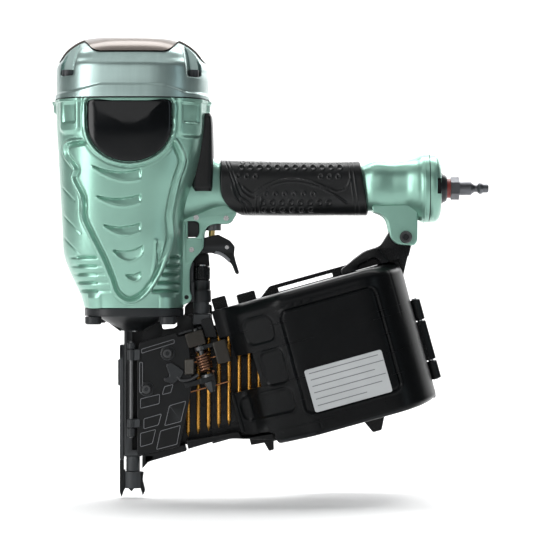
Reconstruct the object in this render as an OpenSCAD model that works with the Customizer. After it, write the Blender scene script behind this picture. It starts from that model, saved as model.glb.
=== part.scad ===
// Coil framing nailer: air driven, with a drum magazine and a hinged nail guide door.
// Frame: +Z up along the drive axis, +X towards the air plug, -Y is the side with the doors.
// The origin is on the drive axis at the top of the contact tip's mouth, just below the nose.

/* [Main casting] */
// Height where the nose flange meets the casting
casting_z0 = 125.6; // [124.6:0.2:126.6]
// Height where the head cap meets the casting
casting_z1 = 281.6; // [280.6:0.2:282.6]
// Radius of the air chamber around the cylinder
chamber_r = 33; // [32.6:0.1:33.2]
// Height of the centre line of the handle
handle_z = 216.7; // [215.7:0.1:217.7]
// Radius of the air passage in the handle
passage_r = 11; // [8:0.5:11.5]
// Thickness of the rubber sleeve on the handle
sleeve_wall = 3.2; // [2.5:0.1:3.6]

/* [Drive] */
// Inside radius of the cylinder liner
liner_r = 28; // [27.8:0.1:28.2]
// Radius of the driver blade
blade_r = 3.6; // [3:0.1:3.8]
// Radius of the nail channel in the nose
channel_r = 4.3; // [4.1:0.1:4.5]

/* [Nails] */
// Length of a nail from its point to the top of its head
nail_length = 75; // [65:1:75]
// Shank radius of a nail
nail_r = 1.45; // [1.2:0.05:1.6]
// Radius of a nail's head
head_r = 3.4; // [3:0.1:3.5]
// Distance between nails along the strip
nail_pitch = 8.1; // [7.8:0.1:8.6]
// Number of nails wound in the drum
coil_nails = 34; // [20:1:64]

/* [Magazine] */
// Angle that the strip and the magazine rise by
feed_tilt = 15.5; // [15.3:0.1:15.7]
// Wall of the magazine
shell_wall = 3; // [2.4:0.2:3]
// Radius of the drum along the strip
drum_rx = 64; // [63.4:0.2:64.4]
// Radius of the drum across the tool
drum_ry = 57; // [56.6:0.2:57.4]

/* [Moving parts] */
// Width of the trigger between its cheeks' outer faces
trigger_w = 14; // [13:0.5:14.4]
// Radius of the depth adjuster wheel
adjuster_r = 6.2; // [5.6:0.1:6.4]
// Radius of the contact rod
rod_r = 3; // [2.6:0.1:3.1]
// Clearance of a running fit, on the radius
fit = 0.05; // [0.03:0.01:0.08]

/* [Hidden] */
$fn = 64;

mint = "#8fb8a8";
black = "#1b1c1e";
steel = "#8d9094";
rubber = "#26272a";

// Casting outline by height: [z, least x, greatest x, half width across]
casting_table = [
    [casting_z0, -36.6, 38.5, 38.5], [134, -39, 38.5, 39.5], [145, -44, 38.5, 42],
    [155, -48.5, 38.5, 45], [165, -51.8, 38.5, 47], [180, -53, 38.6, 49.5],
    [194, -53.6, 39.5, 51], [208, -54.4, 43, 52.5], [225, -55.3, 49.5, 54],
    [240, -56, 53, 55], [262, -57.3, 56, 56.5], [casting_z1, -58, 57, 57]];
// Cap outline by height: [z, half length, half width]
cap_z0 = casting_z1 + 1;
cap_table = [
    [cap_z0, 57.2, 57], [301, 57.5, 57], [307.5, 56.8, 56], [312, 53.8, 53], [316, 51.4, 50.4],
    [319.5, 48.3, 47.2], [323.5, 43.2, 42], [326.3, 38, 36.8], [327.6, 33, 32], [328, 29, 28]];
// Handle outline by x: [x, lowest z, highest z, half width, roundness]
handle_table = [
    [20, 188, 252, 24, 2.4], [44, 192, 247, 21, 2.4], [58, 196.5, 241.5, 19, 2.4],
    [64, 199, 237, 17, 2.5], [70, 199, 234.3, 14.8, 2.5], [176, 199, 234.3, 14.8, 2.5],
    [181, 198.4, 236.7, 17, 2.5], [200, 198.4, 236.9, 17.5, 2.5], [209, 197.4, 238.4, 19, 2.3],
    [215.5, 193.5, 240.8, 23, 2.1], [219.5, 190.2, 243.2, 26.5, 2], [225, 190, 243.4, 26.7, 2]];
// Sleeve outline: [x at the top, x at the bottom, lowest z, highest z, half width]
sleeve_table = [
    [67, 82, 197.4, 236, 16.5], [68.5, 84, 195.6, 237.6, 18], [84, 92, 195.4, 237.5, 18.4],
    [120, 121, 195.2, 236.6, 18.2], [150, 152, 195.4, 236.4, 18], [168, 174, 195.6, 236.8, 18],
    [172.6, 178.4, 196.6, 236.6, 17.2]];
plan_e = 3;
plan_n = 48;

drum_x = 175;
drum_y = 5;
drum_e = 2.6;
drum_z0 = -7.5;
drum_z1 = 102;
wire_r = 0.5;
strip_z = 14.3;
strip_x0 = 10.8;
bend_r = 60;
coil_r0 = 46;
turn_gap = 8.6;
tip_len = 4;
head_h = 1.8;

door_axis = [-0.8, -9.9];
door_pin_r = 1.5;
cover_axis_x = 242;
cover_pin_r = 2;
knuckle_r = 4.2;
trigger_at = [45, 169.3];
arm_at = [71.7, 171.2];
rod_x = 52;
valve_x = 60;
latch_x = 75;
latch_y = -9.4;
feeder_y = 20;
feeder_z = 52;
plug_z = 216.2;
bolt_spots = [for (sx = [-1, 1]) for (sy = [-1, 1]) [46.5 * sx, 36 * sy]];
nose_bolt_spots = [for (x = [-28.5, 27.6]) for (sy = [-1, 1]) [x, 26 * sy]];

// ---------- helpers ----------

function power(v, e) = sign(v) * pow(abs(v), 2 / e);
function oval(cx, a, cy, b, e, n) =
    [for (i = [0:n - 1]) let (t = 360 * i / n)
        [cx + a * power(cos(t), e), cy + b * power(sin(t), e)]];
// Corners of an outline rounded by short curves that start r from each corner
function softened(pts, r) = [for (i = [0:len(pts) - 1])
    let (p = pts[i], a = pts[(i + len(pts) - 1) % len(pts)], b = pts[(i + 1) % len(pts)],
        ka = min(0.45, r / norm(a - p)), kb = min(0.45, r / norm(b - p)),
        q = p + (a - p) * ka, s = p + (b - p) * kb)
    for (t = [0:0.25:1]) q * pow(1 - t, 2) + p * 2 * t * (1 - t) + s * t * t];

// A closed solid through rings of points, first ring to last
module skin(rings) {
    n = len(rings[0]);
    m = len(rings);
    polyhedron(
        points = [for (r = rings) each r],
        faces = concat(
            [[for (i = [0:n - 1]) i]],
            [for (j = [0:m - 2]) for (i = [0:n - 1]) let (k = (i + 1) % n)
                each [[j * n + i, (j + 1) * n + i, (j + 1) * n + k],
                    [j * n + i, (j + 1) * n + k, j * n + k]]],
            [[for (i = [n - 1:-1:0]) (m - 1) * n + i]]));
}

module side_plate(pts, y0, y1) {
    translate([0, y1, 0]) rotate([90, 0, 0]) linear_extrude(y1 - y0) polygon(pts);
}

module along_x(x0, x1, r, y = 0, z = 0) {
    translate([x0, y, z]) rotate([0, 90, 0]) cylinder(r = r, h = x1 - x0);
}

module along_y(y0, y1, r, at) {
    translate([at[0], y1, at[1]]) rotate([90, 0, 0]) cylinder(r = r, h = y1 - y0);
}

module upright(x, y, z0, z1, r) {
    translate([x, y, z0]) cylinder(r = r, h = z1 - z0);
}

module block(x0, x1, y0, y1, z0, z1) {
    translate([x0, y0, z0]) cube([x1 - x0, y1 - y0, z1 - z0]);
}

module ring(r_out, r_in, z0, z1) {
    difference() {
        upright(0, 0, z0, z1, r_out);
        upright(0, 0, z0 - 1, z1 + 1, r_in);
    }
}

// A round wire wound as a spring about z, with flat closed ends left out
module coil_spring(r, wire, z0, z1, turns) {
    steps = turns * 14;
    rise = (z1 - z0 - 2 * wire) / steps;
    skin([for (i = [0:steps]) let (a = 360 * i / 14, z = z0 + wire + rise * i)
        [for (k = [0:5]) let (b = -60 * k)
            [(r + wire * cos(b)) * cos(a), (r + wire * cos(b)) * sin(a), z + wire * sin(b)]]]);
}

// The frame of the strip: x along the strip away from the nose, z along the drum's axis
module feed_frame() {
    rotate([0, -feed_tilt, 0]) children();
}

// ---------- casting, head and handle ----------

function casting_rings(grow) = [for (s = casting_table)
    [for (p = oval((s[1] + s[2]) / 2, (s[2] - s[1]) / 2 + grow, 0, s[3] + grow, plan_e, plan_n))
        [p[0], p[1], s[0]]]];

function cap_rings() = [for (s = cap_table)
    [for (p = oval(0, s[1], 0, s[2], plan_e, plan_n)) [p[0], p[1], s[0]]]];

function handle_rings(grow, first, last) = [for (i = [first:last]) let (s = handle_table[i])
    [for (p = oval(0, s[3] + grow, (s[1] + s[2]) / 2, (s[2] - s[1]) / 2 + grow, s[4], 32))
        [s[0], p[0], p[1]]]];

function sleeve_rings() = [for (s = sleeve_table)
    [for (p = oval(0, s[4], (s[2] + s[3]) / 2, (s[3] - s[2]) / 2, 2.6, 32))
        let (k = (p[1] - s[2]) / (s[3] - s[2])) [s[1] + (s[0] - s[1]) * k, p[0], p[1]]]];

bracket_outline = softened([[54.1, 170.5], [45.9, 161.1], [43.7, 154.3], [43.7, 137.6],
    [45.4, 133.9], [44.5, 130.4], [38.5, 127.4], [30, 127.4], [30, 196], [76, 195.8],
    [75.6, 190.9], [73, 189.2], [62.3, 188.8], [57, 187], [54.6, 182.4]], 1.6);

module trigger_bracket() {
    for (y = [-11, 8]) difference() {
        side_plate(bracket_outline, y, y + 3);
        side_plate(softened([[41, 177.5], [50, 177.5], [50, 190.8], [41, 190.8]], 2), y - 1, y + 4);
    }
    block(34, 42, -8.5, 8.5, 174, 193);
}

// The fork under the rear of the handle that holds the magazine arm
module rear_fork() {
    outline = [[195, 203], [195, 186], [197.5, 178.9], [202, 173.6], [207.3, 171.8],
        [212.5, 173.6], [216, 178.9], [216.2, 203]];
    for (y = [-14, 9]) side_plate(softened(outline, 3), y, y + 5);
}

module housing() {
    color(mint) difference() {
        union() {
            skin(casting_rings(0));
            skin(handle_rings(0, 0, len(handle_table) - 1));
            trigger_bracket();
            rear_fork();
        }
        upright(0, 0, 130, casting_z1 + 1, chamber_r);
        upright(0, 0, casting_z0 - 1, 131, 24);
        along_x(20, 226, passage_r, 0, handle_z);
        upright(valve_x, 0, 182, 208, 7.2 + fit);
        for (at = [trigger_at, [48.5, 196 - 2.4], [71.2, 193.2]]) along_y(-20, 20, 2.02, at);
        along_y(-20, 20, 3.05, [207.3, 178.9]);
        for (p = bolt_spots) upright(p[0], p[1], 262, casting_z1 + 1, 2.6);
        for (p = nose_bolt_spots) upright(p[0], p[1], casting_z0 - 1, 141, 3.05);
    }
}

// The plus shape that the exhaust cover fills in the top of the cap
module cover_cross(gap) {
    block(-34 - gap, 36 + gap, -70, 70, 317 - gap, 335);
    block(-70, 70, -27 - gap, 27 + gap, 312 - gap, 335);
}

module cylinder_cap() {
    color("#a9bdb5") difference() {
        skin(cap_rings());
        cover_cross(0.4);
        upright(0, 0, cap_z0 - 1, 304, 36.3);
        for (p = bolt_spots) {
            upright(p[0], p[1], cap_z0 - 1, 330, 2.6);
            upright(p[0], p[1], 298, 330, 5.8);
            block(min(p[0], p[0] * 1.5), max(p[0], p[0] * 1.5),
                p[1] > 0 ? p[1] : p[1] - 30, p[1] > 0 ? p[1] + 30 : p[1], 298, 330);
        }
    }
}

module exhaust_cover() {
    color("#6b645b") difference() {
        intersection() {
            skin(cap_rings());
            cover_cross(0);
        }
        upright(0, 0, 311, 322, 24);
    }
}

module cap_gasket() {
    color(black) difference() {
        translate([0, 0, casting_z1]) linear_extrude(1) polygon(oval(0, 57, 0, 56.6, plan_e, plan_n));
        upright(0, 0, casting_z1 - 1, cap_z0 + 1, 38);
        for (p = bolt_spots) upright(p[0], p[1], casting_z1 - 1, cap_z0 + 1, 2.6);
    }
}

module socket_bolt(x, y, z_end, z_seat, r, head, head_h) {
    difference() {
        union() {
            upright(x, y, z_end, z_seat + 0.5, r);
            upright(x, y, z_seat, z_seat + head_h, head);
        }
        translate([x, y, z_seat + head_h / 2]) cylinder(r = head * 0.55, h = head_h, $fn = 6);
    }
}

module cap_bolts() {
    color(black) for (p = bolt_spots) socket_bolt(p[0], p[1], 263, 298, 2.5, 4.8, 5.5);
}

// The black guard behind the head, above the handle
module rear_pad() {
    outline = softened([[46, 213], [60.6, 212.4], [61.6, 222], [60.8, 270], [59.4, 272.4],
        [50, 272.4], [44, 250], [42, 225]], 2.5);
    color(rubber) difference() {
        side_plate(outline, -24, 24);
        skin(casting_rings(0.05));
        skin(handle_rings(0.05, 0, 5));
    }
}

badge_outline = concat([for (a = [180:12:360]) [0.2 + 32 * cos(a), 262 + 28 * sin(a)]],
    [[32.2, 276], [30, 280], [26, 281], [-26, 281], [-29.6, 280], [-31.8, 276]]);

module side_badges() {
    color("#0c0d0e") for (s = [-1, 1]) intersection() {
        difference() {
            skin(casting_rings(1.3));
            skin(casting_rings(0.03));
        }
        side_plate(badge_outline, s < 0 ? -62 : 40, s < 0 ? -40 : 62);
    }
}

module grip_sleeve() {
    color(rubber) difference() {
        skin(sleeve_rings());
        skin(handle_rings(0.12, 3, 6));
    }
}

module end_cap() {
    color(mint) difference() {
        union() {
            along_x(225.3, 231.5, 26, 0, handle_z);
            translate([231.5, 0, handle_z]) rotate([0, 90, 0]) cylinder(r1 = 26, r2 = 23, h = 3);
        }
        along_x(224, 236, 13, 0, plug_z);
        for (y = [-30, 18]) block(230, 238, y, y + 12, 211.7, 223.5);
    }
}

module inlet_boss() {
    color("#5d605f") difference() {
        union() {
            along_x(226, 234, 12.9, 0, plug_z);
            translate([234, 0, plug_z]) rotate([0, 90, 0]) cylinder(r1 = 12.4, r2 = 9.6, h = 5);
        }
        along_x(225, 240, 5.6, 0, plug_z);
    }
}

module air_filter() {
    color("#b8a888") difference() {
        along_x(196, 224.8, 9.6, 0, handle_z);
        along_x(198, 226, 7.6, 0, handle_z);
    }
}

module plug_washer() {
    color("#a8342c") difference() {
        along_x(239.1, 242, 7.35, 0, plug_z);
        along_x(238, 243, 5.55, 0, plug_z);
    }
}

plug_profile = [[0, 242.2], [0, 271], [2.8, 271], [3.3, 270.2], [3.3, 267], [4.3, 265.6],
    [4.45, 264.2], [3.6, 263.1], [2.8, 262.4], [2.8, 260.4], [4.2, 258.6], [5.25, 257.6],
    [5.25, 248], [0, 248]];

module air_plug() {
    color("#7d6a58") difference() {
        union() {
            translate([0, 0, plug_z]) rotate([0, 90, 0]) rotate_extrude() polygon(plug_profile);
            translate([242.2, 0, plug_z]) rotate([0, 90, 0]) cylinder(r = 8.7, h = 6.4, $fn = 6);
            along_x(229, 243, 5.5, 0, plug_z);
        }
        along_x(228, 272, 1.9, 0, plug_z);
    }
}

// ---------- drive ----------

module cylinder_liner() {
    color(steel) difference() {
        union() {
            ring(liner_r + 2.5, liner_r, 130.4, 268);
            ring(chamber_r - 0.1, liner_r, 206, 212);
        }
        for (i = [0:7]) rotate([0, 0, 45 * i]) along_x(20, 40, 2, 0, 172);
    }
}

module cylinder_seals() {
    color(black) for (z = [218, 262]) translate([0, 0, z]) rotate_extrude()
        translate([liner_r + 3.7, 0]) circle(r = 1.15, $fn = 32);
}

module piston_bumper() {
    color(rubber) difference() {
        union() {
            upright(0, 0, casting_z0 + 0.1, 131, 23.5);
            upright(0, 0, 130.5, 138, liner_r - 0.6);
            translate([0, 0, 138]) cylinder(r1 = liner_r - 0.6, r2 = 20, h = 3.4);
        }
        upright(0, 0, 120, 145, 5.4);
    }
}

module head_bumper() {
    color(rubber) difference() {
        union() {
            upright(0, 0, 266, 274, 12);
            upright(0, 0, 274, 304, 17);
        }
        upright(0, 0, 262, 300, 5);
    }
}

module head_valve() {
    color("#3a3d40") {
        ring(liner_r + 4.2, 19, 268.2, 283.2);
        ring(36.2, 24, 283, 289);
    }
}

module head_valve_spring() {
    color(steel) coil_spring(30, 1.1, 289.3, 303.7, 3);
}

module piston() {
    color("#b9bbbd") difference() {
        upright(0, 0, 250, 264, liner_r - 0.5);
        difference() {
            upright(0, 0, 255, 260, liner_r + 1);
            upright(0, 0, 255, 260, 25);
        }
        upright(0, 0, 249, 258, blade_r + fit);
        translate([0, 0, 262]) cylinder(r = 8, h = 3);
    }
}

module piston_ring() {
    color(black) ring(liner_r - fit, 25 + fit, 255.2, 259.8);
}

module driver_blade() {
    color(steel) upright(0, 0, 107, 257.8, blade_r);
}

// ---------- nose ----------

module hinge_knuckle(z0, z1) {
    upright(door_axis[0], door_axis[1], z0, z1, 3.1);
    block(door_axis[0] - 3.1, door_axis[0] + 3.1, door_axis[1], -6.4, z0, z1);
}

nose_plate = [[6, 12.6], [41, 20.8], [58, 27], [58, 64], [46, 111], [34, 106.6], [6, 98]];

// The latch keeper reaches over the nail heads and has an open notch for the latch rod
module latch_keeper() {
    feed_frame() difference() {
        block(62, 80, -12, 7.4, 91.2, 93.2);
        block(latch_x - 2.6, latch_x + 2.6, -13, latch_y + 2.6, 90, 95);
    }
}

module nose_body() {
    color(black) difference() {
        union() {
            translate([0, 0, 119]) linear_extrude(casting_z0 - 119)
                polygon(oval(0.95, 37.2, 0, 38, plan_e, plan_n));
            translate([0, 0, 109.5]) cylinder(r1 = 8.4, r2 = 20, h = 9.7);
            block(-6.5, 7, -6.5, 7, 12, 119.5);
            upright(0, 0, 0.9, 13, channel_r + 1);
            side_plate([[6, 12.4], [9.2, 12.4], [9.2, 6.6], [13.4, 8.4], [41.3, 16.4],
                [39.6, 21.4], [6, 13.6]], -6.2, 7.4);
            side_plate(nose_plate, 4.6, 7.4);
            hinge_knuckle(94.2, 98.8);
            hinge_knuckle(27.4, 34);
            latch_keeper();
        }
        upright(0, 0, -1, 127, channel_r);
        block(0, 8, -channel_r, channel_r, 15.5, 108);
        block(2, 8, -7, 0, 20, 108);
        block(-5, 5, -7, -6, 100.8, 106);
        upright(door_axis[0], door_axis[1], 20, 110, door_pin_r + 0.02);
        feed_frame() block(24, 47.6, 4, 8, 45.6, 58.4);
        for (p = nose_bolt_spots) upright(p[0], p[1], 110, 127, 3.05);
    }
}

module nose_bolts() {
    color("#2a2c2f") for (p = nose_bolt_spots) translate([p[0], p[1], 119])
        rotate([180, 0, 0]) socket_bolt(0, 0, -21, 0, 3, 6.3, 6);
}

module contact_arm() {
    link = [[-10, 88], [8, 88], [36, 94], [44, 104], [47, 112], [58.5, 112], [58.5, 121],
        [42, 121], [41, 112], [34, 102], [8, 97], [-10, 97]];
    color("#202226") difference() {
        union() {
            block(-10, -6.9, -5, 5, 9.8, 97);
            block(-10, -6.9, -5, 11, 86, 97);
            side_plate(link, 8, 11);
            block(45.5, 58.5, -6, 11, 112, 121);
        }
        upright(rod_x, 0, 113, 122, rod_r + 0.02);
        block(-11, -6, -2.2, 2.2, 30, 60);
    }
}

module contact_tip() {
    fang = [[5.9, 0.2], [8.2, 0.2], [7.4, -6], [9.4, -14], [7.5, -18], [5.8, -12.5]];
    spur = [[-10, 9.8], [-10, -15], [-8.6, -19], [-6.9, -14], [-5.8, -12.4], [-5.8, 1.8],
        [-6.9, 1.8], [-6.9, 9.8]];
    color("#2b2d30") difference() {
        union() {
            upright(0, 0, -12.2, 0.4, 6.8);
            side_plate(spur, -4, 4);
            side_plate(fang, -3, 3);
            for (y = [-6.7, 5.7]) side_plate([[-3, -12], [-0.6, -14.4], [1.4, -12]], y, y + 1);
        }
        upright(0, 0, -13, 12, 5.6);
    }
}

module contact_rod() {
    color(steel) upright(rod_x, 0, 113, 158, rod_r);
}

module contact_arm_spring() {
    color(steel) translate([rod_x, 0, 0]) coil_spring(4.6, 0.7, 121.2, 136.8, 5);
}

module depth_adjuster() {
    color(black) difference() {
        upright(rod_x, 0, 146, 157, adjuster_r);
        upright(rod_x, 0, 145, 158, rod_r + fit);
        for (i = [0:17]) translate([rod_x, 0, 147.2]) rotate([0, 0, 20 * i])
            translate([adjuster_r + 0.2, 0, 0]) cylinder(r = 0.6, h = 8.6, $fn = 16);
    }
}

module rod_guide() {
    color(black) difference() {
        union() {
            block(39, 52, -6.4, 6.4, 137, 145);
            upright(rod_x, 0, 137, 145, 6.4);
            block(39, 43.4, -6.4, 6.4, 131, 160);
        }
        upright(rod_x, 0, 136, 146, rod_r + fit);
    }
}

// ---------- trigger ----------

cheek = softened([[64.9, 179.8], [54, 177.4], [43, 172.8], [43, 166.4], [59.6, 166.7],
    [73.2, 161.4], [76, 158.1], [78.3, 151.2], [80, 150.5], [80.7, 151.7], [77.5, 159.9],
    [76, 165.7], [77.1, 172.5]], 1);
finger_web = softened([[62, 168], [59.6, 166.7], [73.2, 161.4], [76, 158.1], [78.3, 151.2],
    [80, 150.5], [80.7, 151.7], [77.5, 159.9], [76.4, 165.7], [77.6, 172.5], [75.2, 172.5],
    [74.6, 167], [72, 165]], 0.8);

module trigger() {
    color(black) difference() {
        union() {
            for (y = [-trigger_w / 2, trigger_w / 2 - 2]) {
                side_plate(cheek, y, y + 2);
                along_y(y, y + 2, 3.4, trigger_at);
            }
            side_plate(finger_web, -trigger_w / 2, trigger_w / 2);
        }
        along_y(-10, 10, 2 + fit, trigger_at);
        along_y(-10, 10, 1.52, arm_at);
    }
}

module trigger_pin() {
    color(steel) along_y(-11.6, 11.6, 2, trigger_at);
}

module trigger_arm() {
    color(steel) difference() {
        union() {
            side_plate([[49.5, 168.6], [71.7, 168.3], [71.7, 172.4], [49.5, 170.8]], -3, 3);
            along_y(-3, 3, 2.9, arm_at);
        }
        along_y(-4, 4, 1.5 + fit, arm_at);
    }
}

module trigger_arm_pin() {
    color(steel) along_y(-7, 7, 1.5, arm_at);
}

module trigger_spring() {
    color(steel) translate([45, 3.4, 169.3]) rotate([90, 0, 0]) coil_spring(2.9, 0.35, 0, 4.4, 4);
}

module trigger_valve_body() {
    color("#33363a") difference() {
        union() {
            upright(valve_x, 0, 184, 205, 7.2);
            upright(valve_x, 0, 205, 207, 5);
        }
        upright(valve_x, 0, 183, 208, 2.5);
    }
}

module trigger_valve_plunger() {
    color("#c9b26a") upright(valve_x, 0, 179.2, 203, 2.5 - fit);
}

module valve_pins() {
    color(steel) for (at = [[48.5, 193.6], [71.2, 193.2]]) along_y(-11.8, 11.8, 2, at);
}

// ---------- feeder ----------

module feeder_cylinder() {
    color(black) feed_frame() difference() {
        union() {
            along_x(47.3, 88, 11, feeder_y, feeder_z);
            block(50, 62, 7.6, 14, feeder_z - 9, feeder_z + 9);
            along_x(88, 91, 8.6, feeder_y, feeder_z);
        }
        along_x(49, 86, 8 + fit, feeder_y, feeder_z);
        along_x(40, 50, 3 + fit, feeder_y, feeder_z);
    }
}

module feeder_piston() {
    color(steel) feed_frame() difference() {
        union() {
            along_x(50, 58, 8, feeder_y, feeder_z);
            along_x(37, 51, 3, feeder_y, feeder_z);
            block(29.5, 38, feeder_y - 6.4, feeder_y + 1.6, feeder_z - 5.5, feeder_z + 5.5);
        }
        block(28, 36.6, 8, 30, feeder_z - 4, feeder_z + 4);
        upright(33, 16.2, feeder_z - 7, feeder_z + 7, 1.52);
    }
}

module feeder_spring() {
    color(steel) feed_frame() translate([58.3, feeder_y, feeder_z]) rotate([0, 90, 0])
        coil_spring(5.4, 0.7, 0, 27.4, 6);
}

module feed_pawl() {
    color(steel) feed_frame() difference() {
        union() {
            upright(33, 16.2, feeder_z - 3.7, feeder_z + 3.7, 3);
            translate([0, 0, feeder_z - 3.7]) linear_extrude(7.4)
                polygon([[30.4, 16.2], [28.2, 8], [27.6, 2.4], [29, 2.4], [31.6, 8.4], [34.6, 14]]);
        }
        upright(33, 16.2, feeder_z - 5, feeder_z + 5, 1.5 + fit);
    }
}

module pawl_pin() {
    color(steel) feed_frame() upright(33, 16.2, feeder_z - 5.5, feeder_z + 5.5, 1.5);
}

// ---------- nail guide door ----------

door_outline = softened([[3.6, 13], [35.9, 19.8], [43.7, 56.5], [45.4, 72], [42.2, 105.6],
    [34.4, 103.4], [33.4, 107], [5.2, 98.9], [3.6, 84]], 1.6);
door_screw_spots = [[26.8, 90.8], [10.8, 63.6]];

// A raised slanting rib of the door between two points
module door_rib(a, b, w) {
    side_plate([a, b, b + [0, w], a + [0, w]], -12.4, -9);
}

module nail_guide_door() {
    color(black) difference() {
        union() {
            side_plate(door_outline, -9.8, -6.8);
            for (z = [[34.4, 41], [85.4, 93.9]]) {
                upright(door_axis[0], door_axis[1], z[0], z[1], 3.1);
                block(door_axis[0], 6, door_axis[1] - 2, -7, z[0], z[1]);
            }
            for (i = [0:3]) door_rib([7, 20 + 13.5 * i], [32 + 2 * i, 27.8 + 13.5 * i], 4);
            door_rib([8, 92], [38, 100.6], 4);
            feed_frame() {
                block(66, 82, -13.4, -7.2, 80, 89);
                block(54, 79, -13.4, -7.2, 49, 57);
            }
        }
        upright(door_axis[0], door_axis[1], 20, 100, door_pin_r + fit);
        feed_frame() upright(latch_x, latch_y, 40, 95, 2 + fit);
        for (p = door_screw_spots) along_y(-14, -6, 2.02, p);
    }
}

module door_hinge_pin() {
    color(steel) upright(door_axis[0], door_axis[1], 26.6, 99.6, door_pin_r);
}

module door_screws() {
    color("#3c3e41") for (p = door_screw_spots) difference() {
        union() {
            along_y(-12.6, -7, 2, p);
            along_y(-14.8, -12.5, 3.4, p);
        }
        translate([p[0], -13.4, p[1]]) rotate([90, 0, 0]) cylinder(r = 1.9, h = 3, $fn = 6);
    }
}

module door_latch() {
    color("#2b2d30") feed_frame() {
        upright(latch_x, latch_y, 44, 93, 2);
        upright(latch_x, latch_y, 75.6, 79, 4.2);
        block(latch_x, 94, -13, -9.6, 76, 79);
        block(84.5, 94, -14.4, -9.6, 62, 79);
    }
}

module latch_spring() {
    color("#8a5a3c") feed_frame() translate([latch_x, latch_y, 0])
        coil_spring(3.7, 0.75, 57.3, 75.4, 6);
}

// ---------- magazine ----------

function drum_plan(inset) = oval(drum_x, drum_rx - inset, drum_y, drum_ry - inset, drum_e, 60);
function throat(x0, inset) = [[x0, 16], [x0, inset - 9.4], [104, inset - 10.6],
    [120, inset - 21], [136, inset - 38], [150, 0], [140, 16]];
throat_inner = throat(80, shell_wall);
// Left edges of the cover's throat by height: [least x, lowest z, highest z]
throat_steps = [[88, 3, 37.6], [112.5, 37.5, 64.1], [98, 64, 80.6], [90.5, 80.5, 103]];

module prism(pts, z0, z1) {
    translate([0, 0, z0]) linear_extrude(z1 - z0) polygon(pts);
}

module knuckle(z0, z1) {
    upright(cover_axis_x, drum_y, z0, z1, knuckle_r);
}

arm_outline = concat([[207.3, 185]], softened([[196, 184], [194.4, 181.9], [189.1, 173.3],
    [186.7, 171.8], [176.3, 168.4], [167.2, 161.7], [160, 154], [166, 138], [210, 126],
    [211.3, 131], [206.3, 150], [211.9, 172.3], [212.6, 182]], 2.4));

module magazine_arm() {
    side_plate(arm_outline, -8.4, 8.4);
    difference() {
        side_plate([[158, 156], [167.2, 161.7], [176.3, 168.4], [186.7, 171.8], [189.6, 166],
            [203, 150], [208, 131], [165, 138]], -15, 15);
        side_plate([[172, 158], [184, 163], [198, 147], [200, 136], [170, 146]], -20, -8.4);
        side_plate([[172, 158], [184, 163], [198, 147], [200, 136], [170, 146]], 8.4, 20);
    }
}

module magazine_body() {
    color(black) difference() {
        union() {
            feed_frame() {
                difference() {
                    intersection() {
                        union() {
                            prism(drum_plan(0), drum_z0, drum_z1);
                            block(174, 204, 10, 40, 101, 108);
                        }
                        block(90, 250, drum_y + 0.2, 80, -20, 120);
                    }
                    prism(drum_plan(shell_wall), drum_z0 + 3, drum_z1 - 3);
                    block(100, 140, 0, 8, -4, 97);
                }
                block(59, 128, 5.2, 7.8, -4, 91);
                for (i = [0:5]) block(60, 98, 4.4, 6, 4 + 15 * i, 6.4 + 15 * i);
                difference() {
                    side_plate([[45, 6.3], [75, 4], [105, -2.8], [128, -4.4], [128, -7.5],
                        [105, -6.5], [75, 0.2], [45, 2.4]], -9, 9);
                    block(96.6, 140, -20, 5.3, -20, 10);
                }
                for (z = [[53, 69], [6.5, 20.5]]) {
                    knuckle(z[0], z[1]);
                    block(cover_axis_x - 8, cover_axis_x, drum_y + 0.2, drum_y + knuckle_r, z[0], z[1]);
                }
                side_plate([[172, -6], [204, -6], [197, -21], [181, -21]], 6, 16);
                side_plate([[131, 101], [204, 101], [204, 109], [131, 109]], 6, 12);
            }
            difference() {
                magazine_arm();
                feed_frame() {
                    translate([0, 0, -20]) prism(drum_plan(-0.4), 0, 122.3);
                    block(90, 260, -60, 5, 60, 102.3);
                }
            }
        }
        feed_frame() {
            upright(cover_axis_x, drum_y, 0, 80, cover_pin_r + 0.02);
            difference() {
                upright(cover_axis_x, drum_y, 21.2, 52.4, knuckle_r + 0.4);
                block(200, 260, drum_y + 20, 80, 0, 80);
            }
            block(144, 185, 0, 20, 102.2, 105);
            upright(drum_x, drum_y, -10, 0, 5.02);
        }
        along_y(-20, 20, 3.05, [207.3, 178.9]);
        translate([0, 9.9, 0]) rotate([90, 0, 0]) linear_extrude(6) offset(delta = 0.1)
            polygon(nose_plate);
    }
}

module magazine_cover() {
    color(black) feed_frame() difference() {
        intersection() {
            union() {
                prism(drum_plan(0), drum_z0, drum_z1);
                for (s = throat_steps) prism(throat(s[0], 0), s[1], s[2]);
                block(139, 212.5, -53.3, -40, 6, 87);
            }
            block(80, 250, -80, drum_y - 0.2, -20, 120);
        }
        difference() {
            union() {
                prism(drum_plan(shell_wall), drum_z0 + 3, drum_z1 - 3);
                prism(throat_inner, drum_z0 + 3, 99.5);
            }
            block(139, 212.5, -53.3, -49, 6, 87);
        }
        for (z = [[52.4, 69.6], [6, 21.2]]) upright(cover_axis_x, drum_y, z[0], z[1], knuckle_r + 0.4);
        block(cover_axis_x - 9, 250, drum_y - 1, 12, -20, 120);
        upright(drum_x, drum_y, -10, 0, 5.1);
    }
    color(black) feed_frame() difference() {
        union() {
            knuckle(21.6, 52);
            block(cover_axis_x - 10, cover_axis_x, drum_y - knuckle_r, drum_y, 21.6, 52);
        }
        upright(cover_axis_x, drum_y, 0, 80, cover_pin_r + fit);
        prism(drum_plan(0.01), 0, 80);
    }
}

module cover_hinge_pin() {
    color(steel) feed_frame() upright(cover_axis_x, drum_y, 6, 70, cover_pin_r);
}

module holder_post() {
    color(steel) feed_frame() {
        upright(drum_x, drum_y, -7.4, -4.4, 5);
        upright(drum_x, drum_y, -4.4, 72, 6);
    }
}

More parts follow.
